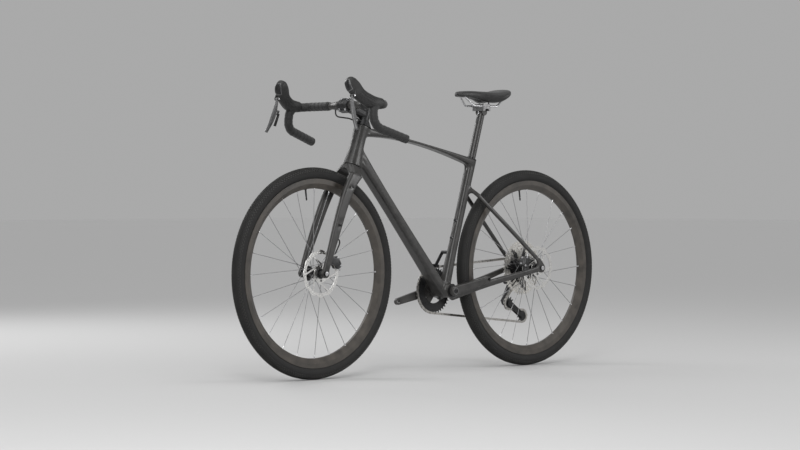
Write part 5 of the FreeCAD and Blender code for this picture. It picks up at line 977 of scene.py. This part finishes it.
def hood_patch(shares, angles, grow):
    """A thin plate that lies on part of the hood's surface, thinner at its edges."""
    low, high = (math.radians(a) for a in angles)
    spread = [low + (high - low) * j / PATCH_SPREAD for j in range(PATCH_SPREAD + 1)]
    rings = []
    for i in range(PATCH_STEPS + 1):
        share = shares[0] + (shares[1] - shares[0]) * i / PATCH_STEPS
        ring = []
        for j, angle in enumerate(spread):
            inside = 0 < i < PATCH_STEPS and 0 < j < PATCH_SPREAD
            ring.append(hood_point(share, angle, grow * (1.0 if inside else PATCH_EDGE)))
        ring.extend(hood_point(share, angle, PATCH_SINK) for angle in reversed(spread))
        rings.append(ring)
    return skin(rings)


# Plates on the hoods: first and last station, first and last angle, thickness
LEVER_FACE = ((5.05, 7.1), (222, 318), 1.1)
FACE_RIM = ((4.98, 7.16), (216, 324), 0.6)
GRIP_SPAN = (2.6, 4.3)
GRIP_RIBS = (-24, -8, 8, 24)
GRIP_HALF = 2.2
GRIP_RISE = 0.7


def make_hoods():
    steps = HOOD_LAST * HOOD_STEPS
    rings = [[hood_point(HOOD_LAST * i / steps, TURN * j / HOOD_SIDES) for j in range(HOOD_SIDES)]
             for i in range(steps + 1)]
    parts = [skin(rings)]
    for lift in GRIP_RIBS:
        for middle in (0, 180):
            angles = (middle + lift - GRIP_HALF, middle + lift + GRIP_HALF)
            parts.append(hood_patch(GRIP_SPAN, angles, GRIP_RISE))
    hoods = piece("rubber_hoods", *both_sides(*parts), RUBBER, "steering", smooth_angle=50)
    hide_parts("lever_hoods")
    rims = piece("lever_body_rims", *both_sides(hood_patch(*FACE_RIM)), LEVER_ALLOY, "steering",
                 smooth_angle=50)
    faces = piece("lever_body_faces", *both_sides(hood_patch(*LEVER_FACE)), BLACK_ALLOY, "steering",
                  smooth_angle=50)


make_tape()
make_hoods()


# Small fittings

FLANGE_RADIUS = 22.0
FLANGE_SIDES = {"front": (20.0, -30.0), "rear": (35.0, -15.0)}
SPOKE_WIND = math.radians(60)
NIPPLE_SIDE = 2.6
NIPPLE_PROFILE = ((0, 2.9), (1.2, 2.9), (1.6, 2.1), (11, 2.0), (12, 1.5))


def make_nipples(end, axle):
    """A nipple where each spoke enters the rim, lined up with the spoke."""
    parts = []
    for k in range(SPOKES):
        angle = TURN * k / SPOKES
        wind = SPOKE_WIND if k % 4 < 2 else -SPOKE_WIND
        left = k % 2 == 0
        rim = spoke_point(axle, RIM_INNER + RIM_SINK, NIPPLE_SIDE if left else -NIPPLE_SIDE, angle)
        hub = spoke_point(axle, FLANGE_RADIUS, FLANGE_SIDES[end][0 if left else 1], angle + wind)
        parts.append(lathe(rim, hub - rim, NIPPLE_PROFILE, sides=10))
    nipples = piece(f"{end}_nipples", *joined(parts), BRIGHT_ALLOY, f"{end}_wheel")


# Bolts: the head's radius and height, and the socket's radius at its corners
FACE_BOLT = (4.1, 5.6, 2.0)
AXLE_CAP = (7.6, 1.8, 3.6)
FORK_SCREW = (4.4, 2.8, 1.6)
TOP_CAP_BOLT = (5.2, 3.2, 2.2)
BOTTLE_SCREW = (4.7, 2.8, 1.7)
LEFT_CRANK_CAP = (9.5, 2.6, 4.6)
RIGHT_CRANK_CAP = (10.5, 2.2, 4.6)

FACE_BOLT_PLACES = ((388.6, 903.85), (376.45, 940.25))
FACE_BOLT_SIDES = (-15, 15)
FACE_BOLT_LIFT = 4.2
SHANK_SINK = 9.0
SHANK_PROFILE = ((0, 2.4), (13.5, 2.4))


def make_stem_bolts():
    parts = []
    for x, z in FACE_BOLT_PLACES:
        for y in FACE_BOLT_SIDES:
            place = Vector((x, y, z))
            parts.append(bolt(place + STEER_AHEAD * FACE_BOLT_LIFT, STEER_AHEAD, *FACE_BOLT))
            parts.append(lathe(place - STEER_AHEAD * SHANK_SINK, STEER_AHEAD, SHANK_PROFILE, sides=16))
    heads = piece("stem_bolt_heads", *joined(parts), BRIGHT_ALLOY, "steering")
    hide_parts("stem_bolts")


FORK_SCREWS = ((403.5, 0, 644.7), (461.7, 0, 516.7))
DOWN_TUBE_OUT = Vector((-0.758, 0, 0.652))
# Pieces made of bolts only: finish, body, slot, and each bolt's foot, axis, distance along it, and size
FITTINGS = {
    "front_axle_end": (BRIGHT_ALLOY, "steering", "bright_alloy", ((FRONT_AXLE, LEFT, 64.6, AXLE_CAP),)),
    "rear_axle_end": (BRIGHT_ALLOY, "frame", "bright_alloy", ((REAR_AXLE, LEFT, 81.6, AXLE_CAP),)),
    "fork_screws": (BLACK_ALLOY, "steering", "black_alloy",
                    (*((place, way, 61.8, FORK_SCREW) for place in FORK_SCREWS for way in (LEFT, -LEFT)),
                     (CROWN, STEER_UP, 209.5, TOP_CAP_BOLT))),
    "frame_screws": (BLACK_ALLOY, "frame", "black_alloy",
                     (((167.1, 0, 596.5), DOWN_TUBE_OUT, 1.4, BOTTLE_SCREW),
                      ((125.5, 0, 547.9), DOWN_TUBE_OUT, 1.4, BOTTLE_SCREW),
                      ((-135.5, 0, 468.4), SEAT_AHEAD, 1.4, BOTTLE_SCREW),
                      ((-154.2, 0, 529.7), SEAT_AHEAD, 1.4, BOTTLE_SCREW))),
    "crank_caps": (BLACK_ALLOY, "crank", "black_alloy",
                   ((CRANK_AXIS, LEFT, 61.6, LEFT_CRANK_CAP), (CRANK_AXIS, -LEFT, 67.6, RIGHT_CRANK_CAP))),
}


def make_fittings():
    for name, (finish, body, slot, rows) in FITTINGS.items():
        bolts = [bolt(Vector(foot) + axis * reach, axis, *size) for foot, axis, reach, size in rows]
        fitting = piece(name, *joined(bolts), finish, body)


LEVER_PIVOT = Vector((522.266, 186, 944))
EAR_ANCHOR = Vector((515.1, 181.0, 959.4))
EAR_SIDE = 7.3
EAR_RADIUS = 6.6
EAR_STEPS = 12
EAR_SECTION = ((-1.5, 0.86), (-0.9, 1.0), (0.9, 1.0), (1.5, 0.86))
PIVOT_SCREW = (3.4, 1.6, 1.5)
PIVOT_SCREW_LIFT = 1.3


def make_brackets():
    """The lever bodies' moulded ears, each side of the lever boss, and the pivot screw through them."""
    ears = []
    screws = []
    for side in (-1, 1):
        face = LEVER_PIVOT.y + side * EAR_SIDE
        rings = []
        for lift, shrink in EAR_SECTION:
            ring = []
            for centre, other in ((EAR_ANCHOR, LEVER_PIVOT), (LEVER_PIVOT, EAR_ANCHOR)):
                away = centre - other
                start = math.atan2(away.z, away.x) - math.pi / 2
                for i in range(EAR_STEPS + 1):
                    angle = start + math.pi * i / EAR_STEPS
                    ring.append(Vector((centre.x + EAR_RADIUS * shrink * math.cos(angle), face + lift,
                                        centre.z + EAR_RADIUS * shrink * math.sin(angle))))
            rings.append(ring)
        ears.append(skin(rings))
        head = (LEVER_PIVOT.x, face + side * PIVOT_SCREW_LIFT, LEVER_PIVOT.z)
        screws.append(bolt(head, (0, side, 0), *PIVOT_SCREW))
    brackets = piece("lever_brackets", *both_sides(*ears), PLASTIC, "steering")
    pivots = piece("lever_pivot_screws", *both_sides(*screws), BRIGHT_ALLOY, "steering")


CALIPER_REACH = 74.0
SLOT_HALF = 5.0
INBOARD = 12.0
OUTBOARD = 15.6
# A caliper's blocks: half length, half height, depth, bevel and squareness
OUTER_BLOCK = (22, 13.5, OUTBOARD - SLOT_HALF, 3.0, 0.62)
INNER_BLOCK = (21, 12.5, INBOARD - SLOT_HALF, 2.4, 0.62)
BRIDGE = (17, 3.6, 22, 1.6, 0.5)
MOUNT_FOOT = (5.5, 13.0, 42.0, 1.5, 0.4)
CAP_PROFILE = ((0, 9.5), (2.0, 9.5), (2.6, 8.8), (2.6, 6.6), (1.6, 6.2))
FITTING_PROFILE = ((0, 3.6), (4.0, 3.6), (4.6, 3.0), (9, 3.0))
SIDE_BOLT = (3.4, 2.6, 1.7)
TOP_BOLT = (3.4, 3.0, 1.7)
# Places in a caliper: along the rotor's edge, away from the axle, and to the left
BRIDGE_AT = (0, 12.4, -10)
CAP_AT = (0, -2.0, OUTBOARD - 2.0)
FITTING_AT = (22.0, 0, 9.5)
SIDE_BOLTS_AT = ((-15.5, 6.5, OUTBOARD - 0.4), (15.5, 6.5, OUTBOARD - 0.4))
TOP_BOLTS_AT = ((-11.0, 14.5, 2.0), (11.0, 14.5, 2.0))
# Body, the direction the lean starts from and the one it turns to, the lean, the foot's side and its rise
CALIPERS = {"front": ("steering", STEER_UP, -STEER_AHEAD, 42, 48.0, STEER_UP),
            "rear": ("frame", FORWARD, UP, 18, 64.0, FORWARD)}


def make_caliper(end, body, base, turned, lean, foot_side, foot_rise):
    """A two-piece caliper over the rotor's edge: halves, bridge, cylinder cap, bolts and hose fitting."""
    radial = around(base, turned, math.radians(lean))
    along = radial.cross(LEFT)
    edge = AXLES[end] + radial * CALIPER_REACH
    middle = edge + LEFT * ROTOR_SIDES[end]

    def at(ahead, rise, side):
        return middle + along * ahead + radial * rise + LEFT * side

    parts = [slab(at(0, 0, SLOT_HALF), along, radial, *OUTER_BLOCK),
             slab(at(0, 0, -INBOARD), along, radial, *INNER_BLOCK),
             slab(at(*BRIDGE_AT), along, radial, *BRIDGE),
             slab(edge + LEFT * foot_side, LEFT, foot_rise, *MOUNT_FOOT)]
    cap = lathe(at(*CAP_AT), LEFT, CAP_PROFILE)
    bolts = []
    for side_place, top_place in zip(SIDE_BOLTS_AT, TOP_BOLTS_AT):
        bolts.append(bolt(at(*side_place), LEFT, *SIDE_BOLT))
        bolts.append(bolt(at(*top_place), radial, *TOP_BOLT))
    bolts.append(lathe(at(*FITTING_AT), along, FITTING_PROFILE, sides=20))
    shell = piece(f"{end}_caliper_body", *joined(parts), DARK_ALLOY, body, smooth_angle=35)
    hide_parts(f"{end}_caliper")
    cover = piece(f"{end}_caliper_caps", *cap, BLACK_ALLOY, body)
    heads = piece(f"{end}_caliper_bolts", *joined(bolts), BRIGHT_ALLOY, body)


POCKET = (4.4, 11, 1.7, 0.5, 0.5)
POCKET_DROP = 34
POCKET_AHEAD = 12.2
CLAMP_BOLTS_AHEAD = (-14.5, 14.5)
CLAMP_RISE = 5.5
CLAMP_BOLT_PROFILE = ((-13, 3.6), (-12.6, 4.2), (-9, 4.2), (-8.8, 2.4), (0, 2.4))


def make_post_details():
    """Bolt pockets under the post's head, drawn as dark plates whose colour is painted shade in place of
    the hollows, and the clamp's two upright bolts.
    """
    pockets = []
    for way in (1, -1):
        face = POST_HEAD - SEAT_UP * POCKET_DROP + SEAT_AHEAD * way * POCKET_AHEAD
        pockets.append(slab(face, LEFT * way, SEAT_UP, *POCKET))
    # Painted shade: dark plates on the post stand in for the shaded hollows of the bolt pockets.
    painted_pocket_shade = piece("seatpost_pocket_shade", *joined(pockets), PLASTIC, "seatpost")
    bolts = []
    for ahead in CLAMP_BOLTS_AHEAD:
        bolts.append(lathe(POST_HEAD + FORWARD * ahead + UP * CLAMP_RISE, UP, CLAMP_BOLT_PROFILE, sides=18))
    upright = piece("saddle_clamp_bolts", *joined(bolts), BRIGHT_ALLOY, "saddle_clamp")


make_post_details()
for end, axle in AXLES.items():
    make_nipples(end, axle)
make_stem_bolts()
make_fittings()
make_brackets()
for end, settings in CALIPERS.items():
    make_caliper(end, *settings)


# Stage, light and camera

WHITE = (1, 1, 1, 1)
FLOOR_COLOUR = (0.56, 0.56, 0.56, 1)
FLOOR_HALF = 60.0
FLOOR_DROP = -0.0002
WORLD_LIGHT = 0.22
BACKDROP = 0.4


def make_floor():
    mat = bpy.data.materials.new("studio_floor")
    mat.use_nodes = True
    set_inputs(mat.node_tree.nodes["Principled BSDF"],
               {"Base Color": FLOOR_COLOUR, "Roughness": 0.8, "Specular IOR Level": 0.2})
    mesh = bpy.data.meshes.new("studio_floor")
    mesh.from_pydata([(x * FLOOR_HALF, y * FLOOR_HALF, FLOOR_DROP) for x, y in SQUARE], [], [(0, 1, 2, 3)])
    mesh.materials.append(mat)
    floor = added("studio_floor", mesh)


def turn_towards(obj, way):
    obj.rotation_mode = "QUATERNION"
    obj.rotation_quaternion = way.to_track_quat("-Z", "Y")


def add_light(name, place, aim, size, power):
    lamp = bpy.data.lights.new(name, "AREA")
    lamp.shape = "RECTANGLE"
    lamp.size, lamp.size_y = size
    lamp.energy = power
    obj = added(name, lamp)
    obj.location = place
    turn_towards(obj, Vector(aim) - Vector(place))


def add_sun(name, aim, strength, spread):
    lamp = bpy.data.lights.new(name, "SUN")
    lamp.energy = strength
    lamp.angle = math.radians(spread)
    turn_towards(added(name, lamp), Vector(aim))


def make_world():
    """A soft even light, and a pale backdrop that the camera, metal and glass see."""
    world = bpy.data.worlds.new("studio")
    bpy.context.scene.world = world
    world.use_nodes = True
    nodes = world.node_tree.nodes
    links = world.node_tree.links
    light = nodes["Background"]
    set_inputs(light, {"Color": WHITE, "Strength": WORLD_LIGHT})
    backdrop = nodes.new("ShaderNodeBackground")
    set_inputs(backdrop, {"Color": WHITE, "Strength": BACKDROP})
    path = nodes.new("ShaderNodeLightPath")
    seen = path.outputs["Is Camera Ray"]
    for kind in ("Is Glossy Ray", "Is Transmission Ray"):
        total = nodes.new("ShaderNodeMath")
        total.operation = "ADD"
        total.use_clamp = True
        links.new(seen, total.inputs[0])
        links.new(path.outputs[kind], total.inputs[1])
        seen = total.outputs["Value"]
    mix = nodes.new("ShaderNodeMixShader")
    links.new(seen, mix.inputs["Fac"])
    links.new(light.outputs["Background"], mix.inputs[1])
    links.new(backdrop.outputs["Background"], mix.inputs[2])
    links.new(mix.outputs["Shader"], nodes["World Output"].inputs["Surface"])


PHOTO_AZIMUTH = 135.274
PHOTO_ELEVATION = 0.537
PHOTO_DISTANCE = 8.4261
PHOTO_TARGET = Vector((0.12119, 0.00078, 0.51434))
PHOTO_FOCUS = 2435.68
PHOTO_WIDTH = 800.0
SENSOR = 36.0


def make_camera():
    data = bpy.data.cameras.new("photo_camera")
    data.sensor_width = SENSOR
    data.lens = SENSOR * PHOTO_FOCUS / PHOTO_WIDTH
    data.clip_end = 100
    camera = added("photo_camera", data)
    a, e = math.radians(PHOTO_AZIMUTH), math.radians(PHOTO_ELEVATION)
    back = Vector((math.sin(a) * math.cos(e), -math.cos(a) * math.cos(e), math.sin(e)))
    camera.location = PHOTO_TARGET + back * PHOTO_DISTANCE
    turn_towards(camera, -back)
    bpy.context.scene.camera = camera


make_floor()
make_world()
make_camera()
add_sun("overhead", aim=(-0.25, -0.2, -1), strength=1.5, spread=70)
add_light("key", place=(3.6, 3.0, 2.6), aim=(0.1, 0, 0.5), size=(1.2, 2.6), power=90)
add_light("left_fill", place=(-2.6, 3.4, 1.65), aim=(-0.2, 0, 0.5), size=(1.6, 1.0), power=38)
add_light("right_rim", place=(0.5, -4.0, 2.6), aim=(0, 0, 0.5), size=(3.0, 1.6), power=70)
bpy.context.scene.view_settings.view_transform = "Standard"
